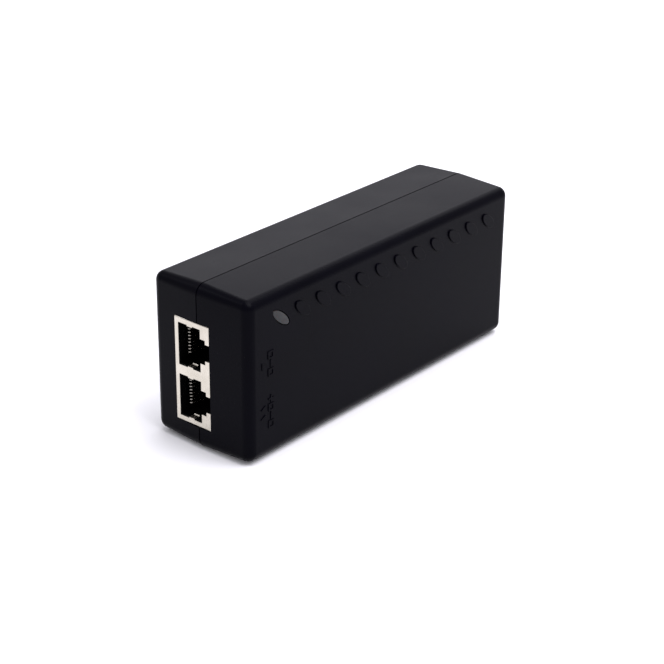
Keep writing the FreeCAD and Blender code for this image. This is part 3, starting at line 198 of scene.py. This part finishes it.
def ring_faces(rings: int, sides: int) -> list[tuple[int, ...]]:
    """Quads between successive closed rings of points, with a flat face on each end ring.

    Args:
        rings: Number of rings.
        sides: Points in each ring.

    Returns:
        Vertex numbers of every face.
    """
    low = np.arange((rings - 1) * sides).reshape(rings - 1, sides)
    after = np.roll(low, -1, axis=1)
    quads = np.stack([low, after, after + sides, low + sides], axis=-1).reshape(-1, 4)
    ends = [tuple(range(sides))[::-1], tuple(range((rings - 1) * sides, rings * sides))]
    return [tuple(quad) for quad in quads.tolist()] + ends


def rounded_ring(half_a: float, half_b: float, radius: float, steps: int) -> np.ndarray:
    """Rectangle with round corners, as points round its edge.

    Each corner is a quarter circle about a centre one radius inside both sides.

    Args:
        half_a: Half size along the first axis.
        half_b: Half size along the second axis.
        radius: Corner radius.
        steps: Spans in each quarter circle.

    Returns:
        Array of shape (4 * (steps + 1), 2).
    """
    quarter = np.arange(4)[:, None] * QUARTER_TURN + np.linspace(0, QUARTER_TURN, steps + 1)[None, :]
    signs = np.array([[1, 1], [-1, 1], [-1, -1], [1, -1]])[:, None, :]
    middles = signs * np.array([half_a - radius, half_b - radius])
    arc = np.stack([np.cos(quarter), np.sin(quarter)], axis=-1) * radius
    return (middles + arc).reshape(-1, 2)


def smooth_copy(node: str, name: str, body: str, finish: bpy.types.Material) -> bpy.types.Object:
    """Stand-in for a CAD node: its own shape, merged into one surface and shaded smooth.

    Args:
        node: CAD node that the piece stands for.
        name: Name of the piece.
        body: CAD body that it rides on.
        finish: Its material.

    Returns:
        The new piece.
    """
    source = bpy.data.objects[node]
    piece = bpy.data.objects.new(name, source.data.copy())
    piece.data.name = name
    bpy.context.scene.collection.objects.link(piece)
    piece.data.materials.clear()
    tidy_mesh(piece, MERGE)
    return settle(piece, body, finish, node)


def settle(piece: bpy.types.Object, body: str, finish: bpy.types.Material,
           *nodes: str) -> bpy.types.Object:
    """Give a piece its finish, its body and the CAD nodes that it stands for.

    Args:
        piece: The new piece.
        body: CAD body that it rides on.
        finish: Its material.
        nodes: CAD nodes that it replaces.

    Returns:
        The same piece.
    """
    piece.data.materials.append(finish)
    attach(piece, body)
    if nodes:
        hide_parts(*nodes)
    LOG.info("%s: %d points, %d faces", piece.name, len(piece.data.vertices), len(piece.data.polygons))
    return piece


# ---------------------------------------------------------------- finishes

class Recipe:
    """Short way to write a node tree: each method adds one node and returns its output."""

    def __init__(self, name: str, slot: str) -> None:
        """Start an empty material with its principled shader.

        Args:
            name: Name of the material.
            slot: The record's material slot that it stands for.
        """
        self.material = bpy.data.materials.new(name)
        self.material["slot"] = slot
        self.material.use_nodes = True
        self.nodes = self.material.node_tree.nodes
        self.links = self.material.node_tree.links
        self.nodes.clear()
        self.shader = self.nodes.new("ShaderNodeBsdfPrincipled")
        output = self.nodes.new("ShaderNodeOutputMaterial")
        self.links.new(self.shader.outputs["BSDF"], output.inputs["Surface"])
        self.place = self.nodes.new("ShaderNodeTexCoord").outputs["Object"]

    def stretched(self, scale: Sequence[float]) -> Socket:
        """Object coordinates multiplied by a scale along each axis.

        Args:
            scale: Factor along X, Y and Z; a small one draws a pattern out.

        Returns:
            The coordinates.
        """
        mapping = self.nodes.new("ShaderNodeMapping")
        mapping.inputs["Scale"].default_value = scale
        self.links.new(self.place, mapping.inputs["Vector"])
        return mapping.outputs["Vector"]

    def noise(self, size: float, detail: float = 3.0, scale: Sequence[float] = (1, 1, 1)) -> Socket:
        """Cloudy noise whose features are about one size across, in metres.

        Args:
            size: Feature size in metres.
            detail: Octaves of finer noise.
            scale: Stretch along each axis.

        Returns:
            The noise value, around one half.
        """
        node = self.nodes.new("ShaderNodeTexNoise")
        node.inputs["Scale"].default_value = 1.0 / size
        node.inputs["Detail"].default_value = detail
        self.links.new(self.stretched(scale), node.inputs["Vector"])
        return node.outputs["Fac"]

    def cells(self, size: float) -> Socket:
        """Distance to scattered points about one size apart.

        Args:
            size: Spacing in metres.

        Returns:
            The distance, as a share of the size.
        """
        node = self.nodes.new("ShaderNodeTexVoronoi")
        node.inputs["Scale"].default_value = 1.0 / size
        self.links.new(self.place, node.inputs["Vector"])
        return node.outputs["Distance"]

    def bands(self, size: float, axis: str, wobble: float = 0.0) -> Socket:
        """Even bands across one axis, one size apart; the wave node's own spacing is pi / 10.

        Args:
            size: Spacing in metres.
            axis: Axis that the bands follow one another along.
            wobble: How much the bands waver.

        Returns:
            The wave, from 0 to 1.
        """
        node = self.nodes.new("ShaderNodeTexWave")
        node.bands_direction = axis
        node.inputs["Scale"].default_value = math.pi / (10.0 * size)
        node.inputs["Distortion"].default_value = wobble
        self.links.new(self.place, node.inputs["Vector"])
        return node.outputs["Fac"]

    def spread(self, value: Socket, low: float, high: float, start: float = 0.3,
               end: float = 0.7) -> Socket:
        """Map a value from start..end onto low..high.

        Args:
            value: The value.
            low: Result at the start.
            high: Result at the end.
            start: Value that gives low.
            end: Value that gives high.

        Returns:
            The result, held between low and high.
        """
        node = self.nodes.new("ShaderNodeMapRange")
        self.links.new(value, node.inputs["Value"])
        for socket, number in (("From Min", start), ("From Max", end), ("To Min", low), ("To Max", high)):
            node.inputs[socket].default_value = number
        return node.outputs["Result"]

    def blend(self, factor: Socket, first: Rgb, second: Rgb) -> Socket:
        """Colour between two colours.

        Args:
            factor: 0 for the first colour and 1 for the second.
            first: First colour.
            second: Second colour.

        Returns:
            The colour.
        """
        node = self.nodes.new("ShaderNodeMix")
        node.data_type = "RGBA"
        self.links.new(factor, node.inputs[0])
        node.inputs[6].default_value = (*first, 1.0)
        node.inputs[7].default_value = (*second, 1.0)
        return node.outputs[2]

    def total(self, first: Socket, second: Socket, share: float) -> Socket:
        """The first value plus a share of the second.

        Args:
            first: Value taken whole.
            second: Value that is scaled.
            share: Its scale.

        Returns:
            The sum.
        """
        node = self.nodes.new("ShaderNodeMath")
        node.operation = "MULTIPLY_ADD"
        self.links.new(second, node.inputs[0])
        node.inputs[1].default_value = share
        self.links.new(first, node.inputs[2])
        return node.outputs["Value"]

    def bump(self, height: Socket, depth: float) -> None:
        """Roughen the shader's normals with a height of a given depth in metres.

        Args:
            height: Pattern, from 0 to 1.
            depth: Height of the pattern in metres.
        """
        node = self.nodes.new("ShaderNodeBump")
        node.inputs["Distance"].default_value = depth
        node.inputs["Strength"].default_value = 1.0
        self.links.new(height, node.inputs["Height"])
        self.links.new(node.outputs["Normal"], self.shader.inputs["Normal"])

    def link(self, socket: str, value: Socket) -> None:
        """Drive a shader input with a worked-out value.

        Args:
            socket: Name of the shader input.
            value: The value.
        """
        self.links.new(value, self.shader.inputs[socket])

    def fix(self, **numbers: float) -> None:
        """Set shader inputs to constants; underscores in names stand for spaces.

        Args:
            **numbers: Value of each input.
        """
        for name, number in numbers.items():
            self.shader.inputs[name.replace("_", " ")].default_value = number


@dataclass(frozen=True)
class Finish:
    """Name, record slot and range of colours of a finish, with a build shared by every kind."""

    name: str
    slot: str
    dark: Rgb
    light: Rgb

    def build(self) -> bpy.types.Material:
        """Make the material."""
        recipe = Recipe(self.name, self.slot)
        self.lay(recipe)
        return recipe.material

    def lay(self, recipe: Recipe) -> None:
        """Add this kind's nodes.

        Args:
            recipe: The empty material.
        """
        raise NotImplementedError

    def tint(self, recipe: Recipe, pattern: Socket, start: float = 0.3, end: float = 0.7) -> None:
        """Colour the material from dark to light as a pattern goes from start to end.

        Args:
            recipe: The material.
            pattern: The pattern's value.
            start: Value that is all dark.
            end: Value that is all light.
        """
        recipe.link("Base Color", recipe.blend(recipe.spread(pattern, 0, 1, start, end), self.dark, self.light))


@dataclass(frozen=True)
class MouldedPlastic(Finish):
    """Spark-textured moulded plastic: fine grain, faint flow clouds and uneven gloss."""

    roughness: float
    gloss: float
    grain: float = 0.00022
    depth: float = 0.000012
    cloud: float = 0.02
    pit_share: float = 1.7

    def lay(self, recipe: Recipe) -> None:
        """Add clouds to the colour and the gloss, and grain with pits to the surface."""
        clouds = recipe.noise(self.cloud, 4.0)
        grain = recipe.noise(self.grain, 2.0)
        pits = recipe.cells(self.grain * self.pit_share)
        self.tint(recipe, recipe.total(clouds, grain, 0.25), 0.4, 0.8)
        recipe.link("Roughness", recipe.spread(recipe.total(clouds, grain, 0.3), self.roughness - 0.04,
                                               self.roughness + 0.05, 0.4, 0.85))
        recipe.bump(recipe.total(grain, pits, 0.6), self.depth)
        recipe.fix(Specular_IOR_Level=self.gloss)


@dataclass(frozen=True)
class SheetMetal(Finish):
    """Rolled or plated metal: fine streaks along one axis, soft stains and small dents."""

    roughness: float
    streak: tuple[float, float, float] = (1.0, 1.0, 0.08)
    streak_size: float = 0.00025
    stain_size: float = 0.004
    dent: float = 0.00001

    def lay(self, recipe: Recipe) -> None:
        """Add stains to the colour, streaks to the gloss and both to the surface."""
        streaks = recipe.noise(self.streak_size, 2.0, self.streak)
        stains = recipe.noise(self.stain_size, 5.0)
        self.tint(recipe, recipe.total(stains, streaks, 0.4), 0.4, 0.95)
        recipe.link("Roughness", recipe.spread(recipe.total(streaks, stains, 0.5), self.roughness - 0.07,
                                               self.roughness + 0.09, 0.5, 0.95))
        recipe.bump(recipe.total(streaks, stains, 2.0), self.dent)
        recipe.fix(Metallic=1.0)


@dataclass(frozen=True)
class DippedCoat(Finish):
    """Glossy dipped or filled coating with an uneven skin."""

    roughness: float
    wave: float = 0.0015
    depth: float = 0.00004

    def lay(self, recipe: Recipe) -> None:
        """Add the same soft waves to the colour, the gloss and the surface."""
        waves = recipe.noise(self.wave, 3.0)
        self.tint(recipe, waves)
        recipe.link("Roughness", recipe.spread(waves, self.roughness - 0.05, self.roughness + 0.05))
        recipe.bump(waves, self.depth)
        recipe.fix(Coat_Weight=0.3, Coat_Roughness=0.15)


@dataclass(frozen=True)
class WoundWire(Finish):
    """Layers of wire: even bands across the winding's axis, with painted shade in the grooves between turns."""

    pitch: float
    axis: str
    blotch: float = 0.001

    def lay(self, recipe: Recipe) -> None:
        """Add one band for each turn, a third of the pitch deep, both in the surface and as painted shade in
        the colour.
        """
        relief_and_painted_shade = recipe.bands(self.pitch, self.axis, 0.4)
        # painted shade: the colour follows the band height, dark in the grooves between turns and lighter on
        # their crowns
        self.tint(recipe, relief_and_painted_shade, 0.1, 0.9)
        recipe.link("Roughness", recipe.spread(recipe.noise(self.blotch), 0.25, 0.4))
        recipe.bump(relief_and_painted_shade, self.pitch / 3)
        recipe.fix(Metallic=0.7)


@dataclass(frozen=True)
class Laminate(Finish):
    """Circuit board: solder mask over a faint glass weave and darker areas of copper."""

    weave: float = 0.0006
    pour: float = 0.006
    haze: float = 0.003
    depth: float = 0.00001

    def lay(self, recipe: Recipe) -> None:
        """Add areas of copper to the colour and the weave to the surface."""
        weave = recipe.total(recipe.bands(self.weave, "Y"), recipe.bands(self.weave, "Z"), 1.0)
        copper = recipe.cells(self.pour)
        self.tint(recipe, copper, 0.35, 0.4)
        recipe.link("Roughness", recipe.spread(recipe.noise(self.haze), 0.22, 0.34))
        recipe.bump(recipe.total(weave, copper, 0.5), self.depth)


@dataclass(frozen=True)
class LabelStock(Finish):
    """Blank satin label film with a fine brushed grain and slight clouding."""

    grain: float = 0.0003
    cloud: float = 0.01
    depth: float = 0.000006

    def lay(self, recipe: Recipe) -> None:
        """Add the brushed grain to the colour and the surface, and clouds to the gloss."""
        brushed = recipe.noise(self.grain, 3.0, (1.0, 0.05, 1.0))
        self.tint(recipe, brushed)
        recipe.link("Roughness", recipe.spread(recipe.noise(self.cloud, 4.0), 0.34, 0.46))
        recipe.bump(brushed, self.depth)
        recipe.fix(Metallic=0.25)


@dataclass(frozen=True)
class LensPlastic(Finish):
    """Smoky diffusing plastic of the indicator lens."""

    haze: float = 0.0012
    grain: float = 0.0002
    depth: float = 0.000004

    def lay(self, recipe: Recipe) -> None:
        """Add haze to the colour and the gloss, a fine grain to the surface, and a little scatter."""
        haze = recipe.noise(self.haze, 4.0)
        self.tint(recipe, haze)
        recipe.link("Roughness", recipe.spread(haze, 0.3, 0.42))
        recipe.bump(recipe.noise(self.grain, 2.0), self.depth)
        recipe.fix(Specular_IOR_Level=0.3, Subsurface_Weight=0.25, Subsurface_Scale=0.0008)


FINISHES = (
    MouldedPlastic("case_black", "case_plastic", (0.0004, 0.0003, 0.0015), (0.0008, 0.0007, 0.0025),
                   0.31, 0.037, depth=0.00002),
    MouldedPlastic("port_black", "port_plastic", (0.0006, 0.0006, 0.0007), (0.0012, 0.0012, 0.0013), 0.5, 0.05),
    MouldedPlastic("inlet_black", "inlet_plastic", (0.0055, 0.0055, 0.0060), (0.009, 0.009, 0.0096), 0.4, 0.35),
    MouldedPlastic("bobbin_brown", "bobbin_plastic", (0.010, 0.008, 0.007), (0.017, 0.013, 0.011), 0.45, 0.4),
    MouldedPlastic("epoxy", "epoxy_black", (0.010, 0.010, 0.011), (0.018, 0.018, 0.019), 0.5, 0.4),
    MouldedPlastic("ferrite_grey", "ferrite", (0.018, 0.018, 0.019), (0.035, 0.035, 0.037), 0.55, 0.5,
                   0.0004, 0.00003),
    MouldedPlastic("barrier_sheet", "sheet_film", (0.42, 0.41, 0.37), (0.52, 0.50, 0.45), 0.5, 0.4, 0.0005),
    MouldedPlastic("fired_ceramic", "chip_ceramic", (0.10, 0.07, 0.05), (0.16, 0.12, 0.08), 0.5, 0.4),
    SheetMetal("tin_plate", "shield_tin", (0.50, 0.465, 0.39), (0.66, 0.62, 0.54), 0.28),
    SheetMetal("gold_flash", "contact_gold", (0.27, 0.25, 0.22), (0.38, 0.36, 0.32), 0.14),
    SheetMetal("nickel_plate", "blade_nickel", (0.50, 0.48, 0.44), (0.68, 0.66, 0.61), 0.25, (1.0, 0.08, 1.0)),
    SheetMetal("zinc_plate", "screw_steel", (0.38, 0.38, 0.39), (0.55, 0.55, 0.56), 0.3),
    SheetMetal("milled_aluminium", "sink_aluminium", (0.60, 0.60, 0.61), (0.76, 0.76, 0.77), 0.3),
    DippedCoat("dark_sleeve", "can_sleeve", (0.008, 0.008, 0.016), (0.015, 0.015, 0.028), 0.25),
    DippedCoat("blue_dip", "disc_blue", (0.02, 0.06, 0.28), (0.04, 0.10, 0.40), 0.3),
    DippedCoat("green_dip", "disc_green", (0.03, 0.09, 0.05), (0.06, 0.15, 0.08), 0.4),
    DippedCoat("yellow_case", "film_case", (0.60, 0.36, 0.03), (0.74, 0.48, 0.06), 0.35),
    DippedCoat("yellow_tape", "tape_yellow", (0.70, 0.46, 0.03), (0.82, 0.58, 0.07), 0.3),
    DippedCoat("lamp_clear", "lamp_epoxy", (0.50, 0.60, 0.50), (0.62, 0.72, 0.62), 0.15),
    WoundWire("copper_turns", "copper_wire", (0.20, 0.06, 0.02), (0.62, 0.26, 0.12), 0.0005, "Y"),
    Laminate("green_mask", "board_laminate", (0.006, 0.055, 0.018), (0.012, 0.095, 0.03)),
    LabelStock("silver_label", "label_film", (0.36, 0.36, 0.37), (0.46, 0.46, 0.47)),
    LensPlastic("smoked_lens", "lens_plastic", (0.008, 0.008, 0.009), (0.013, 0.013, 0.014)),
)


# ---------------------------------------------------------------- sub-assemblies

@dataclass
class Case:
    """The two moulded shells, the label and the lens."""

    finishes: dict[str, bpy.types.Material]
    label_corner: float = 2.0 * MM
    label_edge: float = 0.04 * MM
    label_steps: int = 8
    lens_long: float = 8.2 * MM
    lens_short: float = 2.85 * MM
    lens_tilt: float = 140.0
    lens_dome: float = 0.12 * MM
    lens_edge: float = 0.22 * MM
    lens_depth: float = 2.6 * MM
    lens_sides: int = 96
    rim_rings: int = 7
    face_rings: int = 12
    face_shares: tuple[float, float] = (0.92, 0.06)

    def build(self) -> None:
        """Make every piece of the case."""
        smooth_copy("base_shell", "base_case", BODY, self.finishes["case_plastic"])
        smooth_copy("cover_shell", "cover_case", BODY, self.finishes["case_plastic"])
        self.label()
        self.lens()

    def label(self) -> bpy.types.Object:
        """Thin label with round corners and a softly turned edge.

        Three rounded rectangles stacked through the stock: full size at the back and middle,
        and a hair smaller at the face.

        Returns:
            The label.
        """
        low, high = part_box("rating_label")
        middle = (low + high) / 2
        half = (high - low) / 2
        shapes = ((high.x, 0.0), (low.x + self.label_edge, 0.0), (low.x, self.label_edge))
        rings = []
        for depth, inset in shapes:
            ring = rounded_ring(half.y - inset, half.z - inset, self.label_corner - inset, self.label_steps)
            rings.append(np.column_stack([np.full(len(ring), depth), ring + (middle.y, middle.z)]))
        piece = add_object("label", np.concatenate(rings), ring_faces(len(rings), len(rings[0])))
        return settle(piece, BODY, self.finishes["label_film"], "rating_label")

    def lens(self) -> bpy.types.Object:
        """Domed oval lens with a rounded rim, on a short plug.

        Every ring is the tilted ellipse, pulled in from its full size and sunk under the top of
        the dome.  The rim is a quarter circle of the edge radius; inside it the rings shrink to
        the middle while the face rises as dome * (1 - share squared).

        Returns:
            The lens.
        """
        low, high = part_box("light_pipe")
        turn = np.linspace(0, FULL_TURN, self.lens_sides, endpoint=False)
        quarter = np.linspace(0, QUARTER_TURN, self.rim_rings)
        shares = np.linspace(*self.face_shares, self.face_rings)
        inset = np.concatenate([[0.0], self.lens_edge * (1 - np.cos(quarter)),
                                np.full(self.face_rings, self.lens_edge)])
        share = np.concatenate([np.ones(1 + self.rim_rings), shares])
        sink = np.concatenate([[self.lens_depth], self.lens_dome + self.lens_edge * (1 - np.sin(quarter)),
                               self.lens_dome * shares ** 2])
        along = ((self.lens_long / 2 - inset) * share)[:, None] * np.cos(turn)
        across = ((self.lens_short / 2 - inset) * share)[:, None] * np.sin(turn)
        tilt = math.radians(self.lens_tilt)
        points = np.stack([np.broadcast_to((high.x - sink)[:, None], along.shape),
                           (low.y + high.y) / 2 + along * math.cos(tilt) - across * math.sin(tilt),
                           (low.z + high.z) / 2 + along * math.sin(tilt) + across * math.cos(tilt)], axis=-1)
        piece = add_object("lens", points, ring_faces(len(share), len(turn)))
        return settle(piece, BODY, self.finishes["lens_plastic"], "light_pipe")


@dataclass
class Jack:
    """Shielded two-port jack: shield, housing, carriers and spring contacts."""

    finishes: dict[str, bpy.types.Material]
    joints: Sequence[dict]
    count: int = 8
    pitch: float = 1.016 * MM
    wire: float = 0.23 * MM
    bend: float = 0.67 * MM
    slope: float = math.radians(16.0)
    arm: float = 9.5 * MM
    gap: float = 0.06 * MM
    sides: int = 16
    bend_rings: int = 14
    arm_rings: int = 12
    arm_start: float = 0.05
    tip_rings: int = 6
    tip_arc: tuple[float, float] = (0.2, 1.5)

    def build(self) -> None:
        """Make every piece of the jack."""
        smooth_copy("jack_shield", "shield", BODY, self.finishes["shield_tin"])
        smooth_copy("jack_housing", "housing", BODY, self.finishes["port_plastic"])
        for port in ("data_in", "power_out"):
            smooth_copy(port + "_carrier", port + "_comb", BODY, self.finishes["port_plastic"])
            smooth_copy(port + "_terminals", port + "_tails", BODY, self.finishes["contact_gold"])
            self.springs(port)

    def springs(self, port: str) -> bpy.types.Object:
        """Eight round wires: a bend round the hinge, then a straight sloping arm with a rounded tip.

        The middle line is an arc of the bend's radius about the hinge, followed by a straight
        run at the slope.  Round rings of the wire's radius stand square to that line, and the
        last rings shrink as a quarter circle.

        Args:
            port: Name of the port that the contacts belong to.

        Returns:
            The wires, as one piece on the port's own body.
        """
        low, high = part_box(port + "_contacts")
        joint = next(item for item in self.joints if item["child"] == port + "_springs")
        centre = np.array(joint["pos_m"][:2])
        angles = np.linspace(math.pi + self.gap / self.bend, FULL_TURN - self.slope, self.bend_rings)
        outward = np.column_stack([np.cos(angles), np.sin(angles)])
        arc = centre + self.bend * outward
        heading = np.array([math.sin(self.slope), math.cos(self.slope)])
        aside = np.array([math.cos(self.slope), -math.sin(self.slope)])
        tip = np.linspace(*self.tip_arc, self.tip_rings)
        straight = self.arm - self.wire
        along = np.concatenate([np.linspace(self.arm_start, 1, self.arm_rings) * straight,
                                straight + self.wire * np.sin(tip)])
        line = np.concatenate([arc, arc[-1] + along[:, None] * heading])
        square = np.concatenate([outward, np.repeat([aside], len(along), axis=0)])
        radius = np.full(len(line), self.wire)
        radius[-self.tip_rings:] = self.wire * np.cos(tip)
        turn = np.linspace(0, FULL_TURN, self.sides, endpoint=False)
        rise = radius[:, None] * np.cos(turn)
        flat = line[:, None, :] + rise[..., None] * square[:, None, :]
        height = radius[:, None] * np.sin(turn)
        wire = np.concatenate([flat, height[..., None]], axis=-1).reshape(-1, 3)
        levels = (low.z + high.z) / 2 + (np.arange(self.count) - (self.count - 1) / 2) * self.pitch
        wires = wire[None] + np.stack([0 * levels, 0 * levels, levels], axis=-1)[:, None, :]
        faces = ring_faces(len(line), self.sides)
        shifted = [tuple(corner + index * len(wire) for corner in face)
                   for index in range(self.count) for face in faces]
        piece = add_object(port + "_wires", wires, shifted)
        return settle(piece, port + "_springs", self.finishes["contact_gold"], port + "_contacts")


@dataclass
class Inlet:
    """Mains inlet and its three flat pins."""

    finishes: dict[str, bpy.types.Material]

    def build(self) -> None:
        """Make every piece of the inlet."""
        smooth_copy("inlet_housing", "inlet", BODY, self.finishes["inlet_plastic"])
        for pole in ("line", "neutral", "earth"):
            smooth_copy(pole + "_pin", pole + "_blade", BODY, self.finishes["blade_nickel"])


@dataclass
class Electronics:
    """Everything sealed inside the case, kept as its CAD shapes with their own finishes."""

    finishes: dict[str, bpy.types.Material]
    record: dict

    def dress(self) -> None:
        """Give every CAD node that is still shown the finish of its slot."""
        for part in self.record["subparts"]:
            node = bpy.data.objects[part["node"]]
            if node.hide_render:
                continue
            node.data.materials.clear()
            node.data.materials.append(self.finishes[part["material_slot"]])
            LOG.info("%s: finish %s", node.name, part["material_slot"])


# ---------------------------------------------------------------- studio

class Shade(Enum):
    """Light colours."""

    SOFT = (1.0, 0.985, 1.06)
    COOL = (0.90, 0.93, 1.0)


@dataclass(frozen=True)
class Softbox:
    """Rectangular lamp that looks at the object from a direction and a distance."""

    name: str
    azimuth: float
    elevation: float
    distance: float
    size: tuple[float, float]
    power: float
    shade: Shade = Shade.SOFT

    def build(self, target: Vector) -> None:
        """Add the lamp, aimed at the target.

        Args:
            target: Point that the lamp looks at.
        """
        data = bpy.data.lights.new(self.name, "AREA")
        data.shape = "RECTANGLE"
        data.size, data.size_y = self.size
        data.energy = self.power
        data.color = self.shade.value
        lamp = bpy.data.objects.new(self.name, data)
        bpy.context.scene.collection.objects.link(lamp)
        back = direction(self.azimuth, self.elevation)
        lamp.location = target + back * self.distance
        lamp.rotation_mode = "QUATERNION"
        lamp.rotation_quaternion = (-back).to_track_quat("-Z", "Y")


def direction(azimuth: float, elevation: float) -> Vector:
    """Unit vector from the object towards a viewer.

    Args:
        azimuth: Degrees round the object, from -Y towards +X.
        elevation: Degrees over the floor.

    Returns:
        The unit vector.
    """
    turn, lift = math.radians(azimuth), math.radians(elevation)
    return Vector((math.sin(turn) * math.cos(lift), -math.cos(turn) * math.cos(lift), math.sin(lift)))


@dataclass
class Studio:
    """Plain pale floor, soft lamps and the camera."""

    azimuth: float = 39.99
    elevation: float = 25.05
    distance: float = 0.5208
    roll: float = 0.546
    lens: float = 94.56
    target: tuple[float, float, float] = (0.0, -3.8 * MM, 16.4 * MM)
    sensor: float = 36.0
    clip: tuple[float, float] = (0.01, 20.0)
    floor_half: float = 4.0
    floor_drop: float = 0.02 * MM
    surround: tuple[float, float, float] = (0.76, 0.75, 0.80)
    lamps: tuple[Softbox, ...] = (
        Softbox("zenith_box", 140.0, 76.0, 1.2, (0.9, 0.9), 8.5),
        Softbox("side_fill", 95.0, 58.0, 1.2, (0.7, 0.7), 7.0),
        Softbox("backdrop_box", 208.0, 33.0, 1.2, (1.1, 0.75), 3.2),
        Softbox("edge_strip", -54.0, 44.0, 1.0, (0.2, 0.2), 0.5, Shade.COOL),
    )

    def build(self) -> None:
        """Make the floor, the lamps, the pale surround and the camera."""
        bpy.context.scene.view_settings.view_transform = "Standard"
        target = Vector(self.target)
        for lamp in self.lamps:
            lamp.build(target)
        self.floor()
        world = bpy.data.worlds.new("studio")
        world.use_nodes = True
        world.node_tree.nodes["Background"].inputs["Color"].default_value = (*self.surround, 1.0)
        bpy.context.scene.world = world
        self.camera(target)

    def camera(self, target: Vector) -> None:
        """Add the camera, aimed at the target and rolled a little.

        Args:
            target: Point in the middle of the view.
        """
        data = bpy.data.cameras.new("camera")
        data.lens = self.lens
        data.sensor_width = self.sensor
        data.clip_start, data.clip_end = self.clip
        camera = bpy.data.objects.new("camera", data)
        bpy.context.scene.collection.objects.link(camera)
        back = direction(self.azimuth, self.elevation)
        camera.location = target + back * self.distance
        camera.rotation_mode = "QUATERNION"
        roll = Quaternion((0, 0, 1), math.radians(self.roll))
        camera.rotation_quaternion = (-back).to_track_quat("-Z", "Y") @ roll
        bpy.context.scene.camera = camera

    def floor(self) -> None:
        """Wide pale floor, one flat square just under the case."""
        half = self.floor_half
        corners = np.array([[-half, -half, 0], [half, -half, 0], [half, half, 0], [-half, half, 0]])
        floor = add_object("floor", corners - (0, 0, self.floor_drop), [(0, 1, 2, 3)])
        recipe = Recipe("pale_floor", "floor")
        recipe.link("Base Color", recipe.blend(recipe.noise(0.4), (0.86, 0.86, 0.86), (0.88, 0.88, 0.88)))
        recipe.fix(Roughness=0.9, Specular_IOR_Level=0.1)
        floor.data.materials.append(recipe.material)


def main() -> None:
    """Build the injector's looks round its frame."""
    logging.basicConfig(level=logging.INFO, format="%(message)s")
    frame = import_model()
    finishes = {finish.slot: finish.build() for finish in FINISHES}
    Case(finishes).build()
    Jack(finishes, frame["joints"]).build()
    Inlet(finishes).build()
    Electronics(finishes, frame["record"]).dress()
    Studio().build()


if __name__ == "__main__":
    main()
